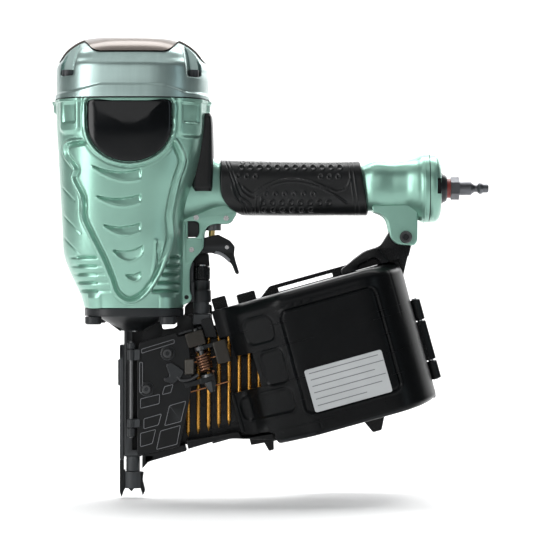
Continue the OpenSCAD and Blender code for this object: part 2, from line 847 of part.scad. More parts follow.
module nail_holder() {
    color("#2f3236") feed_frame() difference() {
        union() {
            upright(drum_x, drum_y, 10.8, 13.6, 42);
            upright(drum_x, drum_y, 10.8, 44, 9);
        }
        upright(drum_x, drum_y, 0, 80, 6 + fit);
        for (i = [0:5]) rotate([0, 0, 0]) translate([drum_x, drum_y, 0]) rotate([0, 0, 60 * i + 20])
            upright(27, 0, 5, 20, 7);
    }
}

// ---------- nails ----------

bend_x = drum_x - sqrt(pow(bend_r + coil_r0, 2) - pow(bend_r + drum_y, 2));
bend_angle = acos((bend_r + drum_y) / (bend_r + coil_r0));
// The first nail stands strip_x0 from the drive axis
strip_start = strip_x0 / cos(feed_tilt) + (strip_z + nail_length / 2 * cos(feed_tilt)) * tan(feed_tilt);
straight_n = floor((bend_x - strip_start) / nail_pitch) + 1;
bend_n = floor(bend_angle * PI / 180 * bend_r / nail_pitch);

// Each place is [x, y, heading] in the feed frame at half the nail's height
function straight_place(i) = [strip_start + nail_pitch * i, 0, 0];
function bend_place(i) = let (a = (nail_pitch * i - (bend_x - strip_start - nail_pitch *
    (straight_n - 1)) + nail_pitch) / bend_r * 180 / PI)
    [bend_x + bend_r * sin(a), bend_r * cos(a) - bend_r, -a];
function spiral_radius(a, a0) = coil_r0 - turn_gap * (a - a0) / 360;
function spiral_places(n, a, a0) = n == 0 ? [] : let (r = spiral_radius(a, a0))
    concat([[drum_x + r * cos(a), drum_y + r * sin(a), a + 90]],
        spiral_places(n - 1, a + nail_pitch / r * 180 / PI, a0));

spiral_start = 270 - bend_angle;
strip_places = [for (i = [0:straight_n - 1]) straight_place(i)];
coil_places = concat([for (i = [0:bend_n - 1]) bend_place(i)],
    spiral_places(coil_nails, spiral_start + 3, spiral_start));
nail_profile = [[0, 0], [nail_r, tip_len], [nail_r, nail_length - head_h],
    [head_r, nail_length - head_h * 0.6], [head_r, nail_length], [0, nail_length]];

module nail_at(p) {
    translate([p[0], p[1], strip_z + nail_length / 2 * cos(feed_tilt)]) rotate([0, 0, p[2]])
        rotate([0, feed_tilt, 0]) translate([0, 0, -nail_length / 2])
        rotate_extrude($fn = 24) polygon(nail_profile);
}

module nail_strip() {
    color("#b98a3c") feed_frame() for (p = strip_places) nail_at(p);
}

module nail_coil() {
    color("#b98a3c") feed_frame() for (p = coil_places) nail_at(p);
}

// The two thin wires that join the nails of the straight strip, one low and one high
module collation_wires() {
    last = strip_places[straight_n - 1][0];
    color("#a8653a") feed_frame() for (z = [47, 68])
        along_x(strip_start - 1.4 + (z - 51) * tan(feed_tilt), last + (z - 51) * tan(feed_tilt),
            wire_r, -nail_r - wire_r - 0.03, z);
}

module label_plate() {
    color("#d8d9d6") feed_frame() block(147, 207.5, -53.95, -53.35, 6.6, 39);
}

module magazine_bolt() {
    color(black) {
        along_y(-15, 15, 3, [207.3, 178.9]);
        for (y = [-17.6, 14.1]) along_y(y, y + 3.5, 4.6, [207.3, 178.9]);
    }
}

housing();
cylinder_cap();
exhaust_cover();
cap_gasket();
cap_bolts();
rear_pad();
side_badges();
grip_sleeve();
end_cap();
inlet_boss();
air_filter();
plug_washer();
air_plug();
cylinder_liner();
cylinder_seals();
piston_bumper();
head_bumper();
head_valve();
head_valve_spring();
piston();
piston_ring();
driver_blade();
nose_body();
nose_bolts();
contact_arm();
contact_tip();
contact_rod();
contact_arm_spring();
depth_adjuster();
rod_guide();
trigger();
trigger_pin();
trigger_arm();
trigger_arm_pin();
trigger_spring();
trigger_valve_body();
trigger_valve_plunger();
valve_pins();
feeder_cylinder();
feeder_piston();
feeder_spring();
feed_pawl();
pawl_pin();
nail_guide_door();
door_hinge_pin();
door_screws();
door_latch();
latch_spring();
magazine_body();
magazine_cover();
cover_hinge_pin();
nail_holder();
holder_post();
nail_strip();
nail_coil();
collation_wires();
label_plate();
magazine_bolt();
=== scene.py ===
"""Looks of the coil framing nailer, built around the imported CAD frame.
Lengths are in millimetres in the CAD's own frame (X to the air plug, Z up the drive axis), and MM turns
them into metres. A tilted piece is given in the magazine's frame, which is turned by TILT about Y."""

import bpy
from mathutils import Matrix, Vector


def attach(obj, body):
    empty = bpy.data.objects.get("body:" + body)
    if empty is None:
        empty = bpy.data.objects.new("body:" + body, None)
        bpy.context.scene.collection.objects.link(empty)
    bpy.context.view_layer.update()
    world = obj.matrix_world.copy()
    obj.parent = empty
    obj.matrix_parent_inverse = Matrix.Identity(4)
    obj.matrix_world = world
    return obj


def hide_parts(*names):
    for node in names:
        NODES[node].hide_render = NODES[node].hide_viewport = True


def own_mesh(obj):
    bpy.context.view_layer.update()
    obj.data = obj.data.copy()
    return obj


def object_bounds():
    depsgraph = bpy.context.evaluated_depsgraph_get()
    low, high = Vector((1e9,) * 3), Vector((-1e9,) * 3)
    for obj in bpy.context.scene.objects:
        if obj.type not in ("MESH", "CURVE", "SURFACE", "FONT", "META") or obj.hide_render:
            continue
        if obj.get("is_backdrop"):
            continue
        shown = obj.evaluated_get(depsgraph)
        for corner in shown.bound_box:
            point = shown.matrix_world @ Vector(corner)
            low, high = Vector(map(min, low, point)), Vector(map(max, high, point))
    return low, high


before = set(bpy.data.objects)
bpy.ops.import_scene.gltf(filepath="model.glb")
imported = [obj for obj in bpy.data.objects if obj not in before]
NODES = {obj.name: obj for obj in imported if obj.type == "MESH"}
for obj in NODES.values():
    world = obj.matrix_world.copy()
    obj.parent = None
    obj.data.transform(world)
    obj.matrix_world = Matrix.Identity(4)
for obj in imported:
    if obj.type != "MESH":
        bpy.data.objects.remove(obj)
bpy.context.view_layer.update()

import math

import bmesh
import bpy
import numpy as np
from mathutils import Matrix, Vector

MM = 0.001
TILT = math.radians(15.5)          # rise of the nail strip and the magazine
UP, ALONG_X, ALONG_Y = (0, 0, 1), (1, 0, 0), (0, 1, 0)


# ---------------------------------------------------------------- numbers and curves

def smooth(x, a, b):
    """0 before a, 1 after b, an S curve between."""
    t = np.clip((np.asarray(x, float) - a) / (b - a), 0, 1)
    return t * t * (3 - 2 * t)


def bump(x, centre, width):
    return np.exp(-((np.asarray(x, float) - centre) / width) ** 2)


def rounded(points, radius, steps=6):
    """Corners of a closed outline replaced by short curves that start radius from each corner."""
    out = []
    n = len(points)
    for i in range(n):
        p, a, b = (np.array(points[k % n], float) for k in (i, i - 1, i + 1))
        ka = min(0.48, radius / np.linalg.norm(a - p))
        kb = min(0.48, radius / np.linalg.norm(b - p))
        q, s = p + (a - p) * ka, p + (b - p) * kb
        for t in np.linspace(0, 1, steps):
            out.append(tuple(q * (1 - t) ** 2 + p * 2 * t * (1 - t) + s * t * t))
    return out


def spline(points, steps=8, closed=False):
    """Catmull-Rom curve through the points."""
    p = [np.array(q, float) for q in points]
    n = len(p)
    out = []
    for i in range(n if closed else n - 1):
        a, b, c, d = ((p[(i + k) % n] if closed else p[min(max(i + k, 0), n - 1)]) for k in (-1, 0, 1, 2))
        for t in np.linspace(0, 1, steps, endpoint=False):
            out.append(0.5 * (2 * b + (c - a) * t + (2 * a - 5 * b + 4 * c - d) * t * t
                              + (3 * b - a - 3 * c + d) * t ** 3))
    if not closed:
        out.append(p[-1])
    return np.array(out)


def line_distance(x, z, line, closed=False):
    """Distance from each point to a polyline."""
    best = np.full(np.shape(x), 1e9)
    pts = np.array(line, float)
    ends = np.roll(pts, -1, axis=0) if closed else pts[1:]
    for a, b in zip(pts if closed else pts[:-1], ends):
        d = b - a
        t = np.clip(((x - a[0]) * d[0] + (z - a[1]) * d[1]) / max(d @ d, 1e-9), 0, 1)
        best = np.minimum(best, np.hypot(x - a[0] - t * d[0], z - a[1] - t * d[1]))
    return best


def is_inside(x, z, outline):
    pts = np.array(outline, float)
    nxt = np.roll(pts, -1, axis=0)
    hit = np.zeros(np.shape(x), bool)
    for (ax, az), (bx, bz) in zip(pts, nxt):
        if az == bz:
            continue
        crosses = ((az > z) != (bz > z)) & (x < (bx - ax) * (z - az) / (bz - az) + ax)
        hit ^= crosses
    return hit


def signed_distance(x, z, outline):
    """Positive inside the outline."""
    d = line_distance(x, z, outline, closed=True)
    return np.where(is_inside(x, z, outline), d, -d)


def box_distance(x, z, x0, x1, z0, z1, r):
    """Positive inside a rectangle with corners rounded to r."""
    qx = np.abs(x - (x0 + x1) / 2) - (x1 - x0) / 2 + r
    qz = np.abs(z - (z0 + z1) / 2) - (z1 - z0) / 2 + r
    return r - np.hypot(np.maximum(qx, 0), np.maximum(qz, 0)) - np.minimum(np.maximum(qx, qz), 0)


def power(v, e):
    """A sine or cosine of a superellipse with exponent e."""
    return np.sign(v) * np.abs(v) ** (2 / e)


def stacked(x, y, z):
    """Points from three coordinates, each an array or one number."""
    return np.stack(np.broadcast_arrays(x, y, z), axis=-1)


def circle(count):
    """Even angles around a circle, in radians."""
    return np.linspace(0, 2 * math.pi, count, endpoint=False)


def blend_table(table, at):
    """Smooth values of a table whose first column is the place."""
    t = np.array(table, float)
    at = np.asarray(at, float)
    i = np.clip(np.searchsorted(t[:, 0], at) - 1, 0, len(t) - 2)
    h = t[i + 1, 0] - t[i, 0]
    u = ((at - t[i, 0]) / h)[:, None]
    slope = np.gradient(t[:, 1:], t[:, 0], axis=0)
    a, b = t[i, 1:], t[i + 1, 1:]
    ma, mb = slope[i] * h[:, None], slope[i + 1] * h[:, None]
    return ((2 * u ** 3 - 3 * u ** 2 + 1) * a + (u ** 3 - 2 * u ** 2 + u) * ma
            + (3 * u ** 2 - 2 * u ** 3) * b + (u ** 3 - u ** 2) * mb)


# ---------------------------------------------------------------- materials

def add_node(tree, kind, values=()):
    """A new shader node, with values for its inputs."""
    node = tree.nodes.new(kind)
    for key, value in dict(values).items():
        node.inputs[key].default_value = value
    return node


def noise(tree, vector, scale, detail):
    node = add_node(tree, "ShaderNodeTexNoise", {"Scale": scale, "Detail": detail})
    tree.links.new(vector, node.inputs["Vector"])
    return node.outputs["Fac"]


def mottled(tree, factor, colour, vary):
    """The colour, a share darker or lighter as the noise goes."""
    tones = tree.nodes.new("ShaderNodeValToRGB")
    for element, place, way in zip(tones.color_ramp.elements, (0.3, 0.7), (-1, 1)):
        element.position = place
        element.color = [min(1, c * (1 + way * vary)) for c in colour] + [1]
    tree.links.new(factor, tones.inputs["Fac"])
    return tones.outputs["Color"]


def worn_edges_and_highlight(tree, colour_out, wear_and_highlight, wear_and_highlight_colour):
    """A paler colour where the surface has a sharp edge: partly edge wear, partly a painted highlight on
    edges that catch the light.
    """
    edges = tree.nodes.new("ShaderNodeNewGeometry")
    amount = add_node(tree, "ShaderNodeMapRange", {"From Min": 0.52, "From Max": 0.62, "To Max": wear_and_highlight})
    tree.links.new(edges.outputs["Pointiness"], amount.inputs["Value"])
    mix = tree.nodes.new("ShaderNodeMix")
    mix.data_type = "RGBA"
    mix.inputs["B"].default_value = [*wear_and_highlight_colour, 1]
    tree.links.new(amount.outputs["Result"], mix.inputs["Factor"])
    tree.links.new(colour_out, mix.inputs["A"])
    return mix.outputs["Result"]


def material(name, colour, rough, metallic=0.0, vary=0.07, patch=45, rough_vary=0.07, grain=0.0,
             grain_scale=1400, coat=0.0, wear_and_highlight=0.0, wear_and_highlight_colour=None, stretch=(1, 1, 1), specular=0.5):
    """Principled surface whose colour, roughness and fine bump come from noise, with paler sharp edges for
    edge wear and painted edge highlight.
    """
    m = bpy.data.materials.new(name)
    m.use_nodes = True
    tree = m.node_tree
    shader = tree.nodes["Principled BSDF"]
    shader.inputs["Metallic"].default_value = metallic
    shader.inputs["Specular IOR Level"].default_value = specular
    if coat:
        shader.inputs["Coat Weight"].default_value = coat
        shader.inputs["Coat Roughness"].default_value = 0.08
    where = tree.nodes.new("ShaderNodeTexCoord")
    scale = add_node(tree, "ShaderNodeMapping", {"Scale": stretch})
    tree.links.new(where.outputs["Object"], scale.inputs["Vector"])
    colour_out = mottled(tree, noise(tree, scale.outputs[0], patch, 5), colour, vary)
    # paler sharp edges: edge wear and a painted highlight along edges
    if wear_and_highlight:
        paler = [min(1, c * 1.8 + 0.03) for c in colour]
        colour_out = worn_edges_and_highlight(tree, colour_out, wear_and_highlight, wear_and_highlight_colour or paler)
    tree.links.new(colour_out, shader.inputs["Base Color"])
    fine = noise(tree, scale.outputs[0], grain_scale, 3)
    gloss = add_node(tree, "ShaderNodeMapRange", {"To Min": rough - rough_vary, "To Max": rough + rough_vary})
    tree.links.new(fine, gloss.inputs["Value"])
    tree.links.new(gloss.outputs["Result"], shader.inputs["Roughness"])
    if grain:
        height = add_node(tree, "ShaderNodeBump", {"Strength": 0.5, "Distance": grain * MM})
        tree.links.new(fine, height.inputs["Height"])
        tree.links.new(height.outputs["Normal"], shader.inputs["Normal"])
    return m


MINT = material("mint_metallic", (0.235, 0.42, 0.345), 0.34, metallic=0.72, coat=0.25, vary=0.05, patch=30,
                grain=0.02, grain_scale=2600, wear_and_highlight=0.12)
CAP = material("cap_metallic", (0.31, 0.41, 0.39), 0.33, metallic=0.8, vary=0.05, grain=0.03,
               grain_scale=900, stretch=(6, 6, 0.4), coat=0.2, wear_and_highlight=0.15)
BRONZE = material("cover_bronze", (0.115, 0.096, 0.084), 0.33, metallic=0.7, vary=0.08, grain=0.02, coat=0.3,
                  wear_and_highlight=0.2)
GLOSS = material("badge_gloss", (0.0025, 0.003, 0.0035), 0.12, vary=0.2, rough_vary=0.02, specular=0.25)
RUBBER = material("grip_rubber", (0.0042, 0.0046, 0.005), 0.36, specular=0.3, vary=0.2, grain=0.09,
                  grain_scale=1700)
BLACK_METAL = material("black_metal", (0.0036, 0.0042, 0.0047), 0.33, specular=0.22, vary=0.2, grain=0.06,
                       grain_scale=1500, wear_and_highlight=0.25, wear_and_highlight_colour=(0.16, 0.17, 0.18))
DARK_STEEL = material("dark_steel", (0.028, 0.03, 0.032), 0.32, metallic=0.7, vary=0.2, grain=0.05,
                      wear_and_highlight=0.3, wear_and_highlight_colour=(0.3, 0.3, 0.3))
PLASTIC = material("black_plastic", (0.0022, 0.0025, 0.0029), 0.27, specular=0.22, vary=0.15, grain=0.05,
                   grain_scale=2100, wear_and_highlight=0.15, wear_and_highlight_colour=(0.07, 0.075, 0.08))
COVER = material("cover_plastic", (0.0026, 0.003, 0.0034), 0.3, specular=0.12, vary=0.15, grain=0.05,
                 grain_scale=2100, wear_and_highlight=0.15, wear_and_highlight_colour=(0.07, 0.075, 0.08))
STEEL = material("ground_steel", (0.46, 0.46, 0.46), 0.28, metallic=0.95, vary=0.1, grain=0.03)
ALLOY = material("alloy", (0.2, 0.2, 0.2), 0.38, metallic=0.8, vary=0.12, grain=0.04)
BRASS = material("brass", (0.6, 0.43, 0.17), 0.3, metallic=0.95, vary=0.1, grain=0.03)
GOLD = material("nail_gold", (0.5, 0.25, 0.045), 0.27, metallic=0.8, vary=0.2, patch=120, grain=0.008,
                wear_and_highlight=0.2, wear_and_highlight_colour=(0.95, 0.72, 0.34))
COPPER = material("copper_wire", (0.5, 0.22, 0.1), 0.35, metallic=0.9, vary=0.15, grain=0.03)
SPRING = material("brown_spring", (0.15, 0.075, 0.045), 0.28, metallic=0.85, vary=0.15, grain=0.03)
RED = material("red_washer", (0.24, 0.028, 0.02), 0.4, vary=0.15, grain=0.04)
PLUG = material("plug_steel", (0.115, 0.118, 0.128), 0.3, metallic=0.9, vary=0.15, grain=0.03, wear_and_highlight=0.3)
FILTER = material("filter_bronze", (0.4, 0.33, 0.2), 0.5, metallic=0.7, vary=0.2, grain=0.2)
LABEL = material("label_grey", (0.41, 0.425, 0.43), 0.42, vary=0.04, patch=60)
BROWN_BLACK = material("brown_black", (0.012, 0.0095, 0.0065), 0.34, specular=0.3, vary=0.15, grain=0.05,
                       wear_and_highlight=0.3, wear_and_highlight_colour=(0.16, 0.15, 0.13))
# Grey of the label's lines and the trigger's finger pad, and the painted highlight rims of the door pads.
GREY_AND_HIGHLIGHT = material("grey_and_rim_highlight", (0.16, 0.165, 0.175), 0.42, vary=0.1, grain=0.04)


# ---------------------------------------------------------------- meshes

def feed(points):
    """From the magazine's tilted frame to the row frame."""
    p = np.asarray(points, float)
    c, s = math.cos(TILT), math.sin(TILT)
    return np.stack([p[..., 0] * c - p[..., 2] * s, p[..., 1], p[..., 0] * s + p[..., 2] * c], axis=-1)


def link(obj):
    bpy.context.scene.collection.objects.link(obj)
    return obj


def clean(mesh, merge_m):
    """Joins points closer than merge_m metres, and turns every face outward."""
    bm = bmesh.new()
    bm.from_mesh(mesh)
    bmesh.ops.remove_doubles(bm, verts=bm.verts, dist=merge_m)
    bmesh.ops.recalc_face_normals(bm, faces=bm.faces)
    bm.to_mesh(mesh)
    bm.free()


def shade(mesh, sharp):
    """Smooth shading, but for edges of more than sharp degrees."""
    mesh.polygons.foreach_set("use_smooth", [True] * len(mesh.polygons))
    mesh.set_sharp_from_angle(angle=math.radians(sharp))


def piece(name, mesh, mat, body, sharp=35):
    """A new object with one material, riding on a body."""
    obj = link(bpy.data.objects.new(name, mesh))
    mesh.materials.clear()
    mesh.materials.append(mat)
    shade(mesh, sharp)
    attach(obj, body)
    return obj


def add_mesh(name, verts, faces, mat, body, tilted=False, sharp=35):
    pts = feed(verts) if tilted else np.asarray(verts, float)
    mesh = bpy.data.meshes.new(name)
    mesh.from_pydata([tuple(v) for v in pts * MM], [], [tuple(f) for f in faces])
    mesh.validate()
    clean(mesh, 1e-7)
    return piece(name, mesh, mat, body, sharp)


def evaluated_mesh(obj):
    graph = bpy.context.evaluated_depsgraph_get()
    return bpy.data.meshes.new_from_object(obj.evaluated_get(graph))


def combine(obj, others, operation="DIFFERENCE"):
    """Cuts or joins the others into a piece, and removes them."""
    for other in others:
        mod = obj.modifiers.new("combine", "BOOLEAN")
        mod.operation = operation
        mod.solver = "EXACT"
        mod.object = other
    done = evaluated_mesh(obj)
    obj.modifiers.clear()
    obj.data = done
    for other in others:
        bpy.data.objects.remove(other, do_unlink=True)
    shade(obj.data, 35)
    return obj


def grid_faces(rows, cols, closed=True):
    faces = []
    for j in range(rows - 1):
        for i in range(cols if closed else cols - 1):
            k = (i + 1) % cols
            faces.append((j * cols + i, j * cols + k, (j + 1) * cols + k, (j + 1) * cols + i))
    return faces


def capped_grid(name, rings, mat, body, **kw):
    """A closed solid through rings of points, with each end filled by a fan."""
    rows, cols = rings.shape[:2]
    verts = rings.reshape(-1, 3)
    faces = grid_faces(rows, cols)
    verts = np.vstack([verts, rings[0].mean(axis=0), rings[-1].mean(axis=0)])
    low, high = rows * cols, rows * cols + 1
    for i in range(cols):
        k = (i + 1) % cols
        faces.append((low, k, i))
        faces.append((high, (rows - 1) * cols + i, (rows - 1) * cols + k))
    return add_mesh(name, verts, faces, mat, body, **kw)


def plate(name, outlines, a, b, mat, body, edge=0.5, plane="xz", tilted=False, segments=2):
    """A plate with rounded edges. outlines is one outline, or an outline and its holes.
    plane xz runs from y=a to y=b, plane xy from z=a to z=b, and plane yz from x=a to x=b."""
    if not isinstance(outlines[0][0], (list, tuple, np.ndarray)):
        outlines = [outlines]
    curve = bpy.data.curves.new(name, "CURVE")
    curve.dimensions = "2D"
    curve.fill_mode = "BOTH"
    edge = min(edge, (b - a) * 0.45)
    curve.extrude = ((b - a) / 2 - edge) * MM
    curve.bevel_depth = edge * MM
    curve.bevel_resolution = segments
    curve.offset = -edge * MM
    for line in outlines:
        s = curve.splines.new("POLY")
        s.points.add(len(line) - 1)
        for p, q in zip(s.points, line):
            p.co = (q[0] * MM, q[1] * MM, 0, 1)
        s.use_cyclic_u = True
    holder = link(bpy.data.objects.new(name, curve))
    mesh = evaluated_mesh(holder)
    bpy.data.objects.remove(holder, do_unlink=True)
    mid = (a + b) / 2 * MM
    turn = {"xz": Matrix(((1, 0, 0, 0), (0, 0, 1, mid), (0, 1, 0, 0), (0, 0, 0, 1))),
            "xy": Matrix.Translation((0, 0, mid)),
            "yz": Matrix(((0, 0, 1, mid), (1, 0, 0, 0), (0, 1, 0, 0), (0, 0, 0, 1)))}[plane]
    if tilted:
        turn = Matrix.Rotation(-TILT, 4, "Y") @ turn
    mesh.transform(turn)
    clean(mesh, 1e-6)
    obj = piece(name, mesh, mat, body)
    face_way = turn.to_3x3() @ Vector(UP)
    for face in mesh.polygons:
        face.use_smooth = abs(face.normal @ face_way) < 0.999
    return obj


def frame_from(direction):
    d = Vector(direction).normalized()
    side = d.orthogonal().normalized()
    return np.array(side), np.array(d.cross(side))


def turned(name, profile, origin, axis, mat, body, sides=48, tilted=False, sharp=35, hollow=False):
    """A body of revolution. profile is (distance along the axis, radius), and a hollow one's ends meet."""
    d = np.array(Vector(axis).normalized())
    u, v = frame_from(axis)
    rings = []
    for h, r in profile:
        t = circle(sides)[:, None]
        rings.append(np.array(origin) + d * h + max(r, 0.001) * (np.cos(t) * u + np.sin(t) * v))
    if hollow:
        rings = np.array(rings + rings[:1])
        return add_mesh(name, rings.reshape(-1, 3), grid_faces(len(rings), sides), mat, body, tilted, sharp)
    return capped_grid(name, np.array(rings), mat, body, tilted=tilted, sharp=sharp)


def tube(name, path, radius, mat, body, sides=10, tilted=False):
    """A round wire along a list of points."""
    p = np.array(path, float)
    tangent = np.gradient(p, axis=0)
    tangent /= np.linalg.norm(tangent, axis=1)[:, None]
    side = frame_from(tangent[0])[0]
    rings = []
    for q, t in zip(p, tangent):
        side = side - t * (side @ t)
        side /= np.linalg.norm(side)
        other = np.cross(t, side)
        a = circle(sides)[:, None]
        rings.append(q + radius * (np.cos(a) * side + np.sin(a) * other))
    return capped_grid(name, np.array(rings), mat, body, tilted=tilted)


def helix(r, z0, z1, turns, centre=(0, 0), per_turn=28):
    """Points of a spring about z with closed ends."""
    n = int(turns * per_turn)
    t = np.linspace(0, 1, n)
    lift = smooth(t, 0, 0.12) * 0.12 + 0.76 * t + smooth(t, 0.88, 1) * 0.12
    a = 2 * math.pi * turns * t
    return np.stack([centre[0] + r * np.cos(a), centre[1] + r * np.sin(a), z0 + (z1 - z0) * lift], axis=1)


def joined(name, parts):
    """One object from several, keeping the first one's body."""
    bpy.ops.object.select_all(action="DESELECT")
    for p in parts:
        p.select_set(True)
    bpy.context.view_layer.objects.active = parts[0]
    bpy.ops.object.join()
    parts[0].name = name
    return parts[0]


def stand_for(obj, slot, *nodes):
    """Hides the CAD nodes that a piece replaces; slot is not used."""
    if nodes:
        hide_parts(*nodes)
    return obj


def box_piece(name, x, y, z, mat, body, edge=0.6, tilted=True):
    """A block with rounded edges between pairs of limits."""
    outline = rounded([(x[0], z[0]), (x[1], z[0]), (x[1], z[1]), (x[0], z[1])], edge * 1.5, 4)
    return plate(name, outline, y[0], y[1], mat, body, edge, tilted=tilted)


def cut_box(x, y, z, r=0.02, tilted=True):
    outline = rounded([(x[0], z[0]), (x[1], z[0]), (x[1], z[1]), (x[0], z[1])], r, 7)
    return plate("cutter", outline, y[0], y[1], PLASTIC, "frame", 0.02, tilted=tilted)


class Kit:
    """Pieces that share a material and a body."""

    def __init__(self, mat, body="frame"):
        self.mat = mat
        self.body = body
        self.parts = []

    def keep(self, obj):
        self.parts.append(obj)
        return obj

    def plate(self, name, outline, a, b, edge=0.5, **kw):
        return self.keep(plate(name, outline, a, b, self.mat, self.body, edge, **kw))

    def box(self, name, x, y, z, edge=0.6, tilted=True):
        return self.keep(box_piece(name, x, y, z, self.mat, self.body, edge, tilted))

    def turned(self, name, profile, origin, axis=UP, sides=48, **kw):
        return self.keep(turned(name, profile, origin, axis, self.mat, self.body, sides, **kw))

    def barrel(self, name, z0, z1, r, bevel, at, sides, tilted=False):
        """A hinge barrel about z, with broken edges."""
        profile = [(z0, r - bevel), (z0 + bevel, r), (z1 - bevel, r), (z1, r - bevel)]
        return self.turned(name, profile, at, UP, sides, tilted=tilted)

    def join(self, name, slot, *nodes):
        return stand_for(joined(name, self.parts), slot, *nodes)

    def keep_apart(self, slot):
        for part in self.parts:
            stand_for(part, slot)


# ---------------------------------------------------------------- main casting

CASTING = [  # z, least x, greatest x, half width
    [125.6, -36.6, 38.5, 38.5], [134, -39, 38.5, 39.5], [145, -44, 38.5, 42], [155, -48.5, 38.5, 45],
    [165, -51.8, 38.5, 47], [180, -53, 38.6, 49.5], [194, -53.6, 39.5, 51], [208, -54.4, 43, 52.5],
    [225, -55.3, 49.5, 54], [240, -56, 53, 55], [262, -57.3, 56, 56.5], [281.6, -58, 57, 57]]
BADGE = rounded([(0.2 + 32 * math.cos(math.radians(a)), 262 + 28 * math.sin(math.radians(a)))
                 for a in range(180, 361, 10)] + [(32.2, 281), (-31.8, 281)], 5)
PANEL = spline([(-32.4, 250.3), (-45.9, 248.8), (-48.9, 244.3), (-47.3, 238.3), (-40.6, 229.3),
                (-42.1, 222), (-35.3, 208.2), (-34.6, 193.3), (-29.3, 181.2), (-20.3, 163.2),
                (-14.3, 148.2), (-9.8, 136.4), (0, 130.6), (11.2, 136.4), (20.2, 149.7), (26.3, 163.2),
                (30.8, 178.2), (30, 193.3), (31.2, 203), (35.3, 220.4), (39.8, 235.3), (36.3, 245.9),
                (31.7, 253)], 6)
PANEL = np.vstack([PANEL, [[20, 262], [-20, 262]]])
# left tip, right end of the upper edge, middle of the lower edge, right end of the lower edge
SMILES = [[(-28.3, 231.8), (8.4, 228.6), (-9, 221.2), (8.4, 221.6)],
          [(-25.1, 209.1), (8.2, 209.6), (-6.5, 201.8), (8.2, 204.6)],
          [(-19.8, 187.8), (7.9, 188.6), (-4.7, 180.4), (7.9, 183)],
          [(-13, 169.2), (9.7, 171.8), (-1.2, 161.2), (9.7, 166.6)],
          [(-3.9, 150.9), (8, 152.4), (1.6, 146.8), (8, 148.6)]]
VENT_ROWS = [163.4, 156.9, 150.6, 144.4, 138.2]


def smile_depth(x, z, tip, top_right, low_mid, low_right):
    """A crescent that is deepest under its upper edge and comes up to its lower edge."""
    span = top_right[0] - tip[0]
    t = np.clip((x - tip[0]) / span, 0, 1)
    sag = 0.35 * (tip[1] - low_mid[1])
    upper = tip[1] + (top_right[1] - tip[1]) * t - sag * 4 * t * (1 - t)
    m = (low_mid[0] - tip[0]) / span
    a = np.array([[m * (1 - m), m], [0, 1]])
    bend, drop = np.linalg.solve(a, [low_mid[1] - tip[1], low_right[1] - tip[1]])
    lower = tip[1] + bend * t * (1 - t) + drop * t
    within = smooth(x, tip[0], tip[0] + 2) * (1 - smooth(x, top_right[0] - 0.5, top_right[0] + 0.5))
    depth = np.clip((z - lower) / np.maximum(upper - lower, 0.5), 0, 1.15)
    dip = depth * (1 - smooth(z, upper - 0.3, upper + 0.9)) * smooth(z, lower - 0.6, lower + 0.8)
    rim = bump(z, lower - 0.4, 0.8)
    return within * (0.7 * rim - 2.3 * dip)


def casting_relief(x, z):
    """Height of the pressed and cast detail of a broad side, in mm along the surface's normal."""
    d = signed_distance(x, z, PANEL)
    ridge = 1.15 * bump(d, -0.7, 1.0)
    groove = -2.0 * bump(d, 1.7, 1.15)
    h = ridge + groove + 1.0 * smooth(d, 2.2, 5.0) - 0.25 * bump(d, -2.6, 0.45)
    for s in SMILES:
        h = h + smile_depth(x, z, *s)
    outside = 1 - smooth(d, -4.2, -2.6)
    for row in VENT_ROWS:
        slot = bump((z - row) / 1.35, 0, 1) ** 2
        left = smooth(x, -46.5, -43) * (1 - smooth(x, -12, -8))
        inner_left = smooth(x, -41, -39) * (1 - smooth(x, -26, -24))
        right = smooth(x, 14, 17) * (1 - smooth(x, 35.5, 37.6))
        h = h - outside * slot * (0.8 * left + 1.0 * inner_left + 2.6 * right)
    # the pointed notch low on the right, with a fine ridge beside it
    notch_w = np.clip(2.6 * (z - 155.5) / 17, 0.05, 2.6)
    notch = smooth(notch_w - np.abs(x - 21.6), -0.3, 0.8) * smooth(z, 155.5, 159) * (1 - smooth(z, 168, 176))
    h = h - 2.0 * notch
    ridge_line = spline([(19.2, 176), (18.6, 166), (16.4, 151), (13.6, 141), (9, 135.5)], 6)
    h = h + 0.9 * bump(line_distance(x, z, ridge_line), 0, 1.2) * (1 - notch)
    # columns around the nose bolts
    for cx, w in ((-27, 5.5), (27.5, 6)):
        h = h + 1.6 * np.sqrt(np.clip(1 - ((x - cx) / w) ** 2, 0, 1)) * (1 - smooth(z, 133, 137))
    # bosses and pockets for the cap bolts, under the flange
    for x0, x1, low in ((-51.5, -37, 257), (36.5, 52.5, 254)):
        boss = box_distance(x, z, x0, x1, low, 300, 4)
        h = h + 1.7 * smooth(boss, -2.2, 1.2)
        pocket = box_distance(x, z, x0 + 2.5, x1 - 2.5, 263.5, 278, 1.5)
        h = h - 1.6 * smooth(pocket, -0.6, 0.9) * (1 - 0.5 * smooth(z, 263, 278))
    # faint step lines on the flank
    steps = [[(-56, 220.5), (-41.5, 205.6)], [(-56, 199.8), (-36.5, 181.4)], [(-54, 181.8), (-35, 163.5)]]
    for line in steps:
        h = h - 0.45 * bump(line_distance(x, z, line), 0, 0.55) * outside
    # rim around the badge
    b = signed_distance(x, z, BADGE)
    near = smooth(b, -6, -3)
    h = h * (1 - near) + near * 1.4 * smooth(b, -3.6, -2.4)
    h = h * (1 - smooth(b, -1.0, -0.4)) - 1.6 * smooth(b, -1.0, -0.4)
    h = h + 0.9 * smooth(z, 279, 279.8)
    return h


def spread_angles(count, broad, near, far):
    """Angles around a superellipse of size 50 so that points are even along it, but for their density:
    near on the two broad sides, past broad, and far elsewhere."""
    t = np.linspace(0, 2 * math.pi, 8001)
    p = 50 * np.stack([power(np.cos(t), 3), power(np.sin(t), 3)], axis=1)
    density = np.where(np.abs(p[1:, 1]) > broad, near, far)
    along = np.concatenate([[0], np.cumsum(np.linalg.norm(np.diff(p, axis=0), axis=1) * density)])
    return np.interp(np.linspace(0, along[-1], count, endpoint=False), along, t)


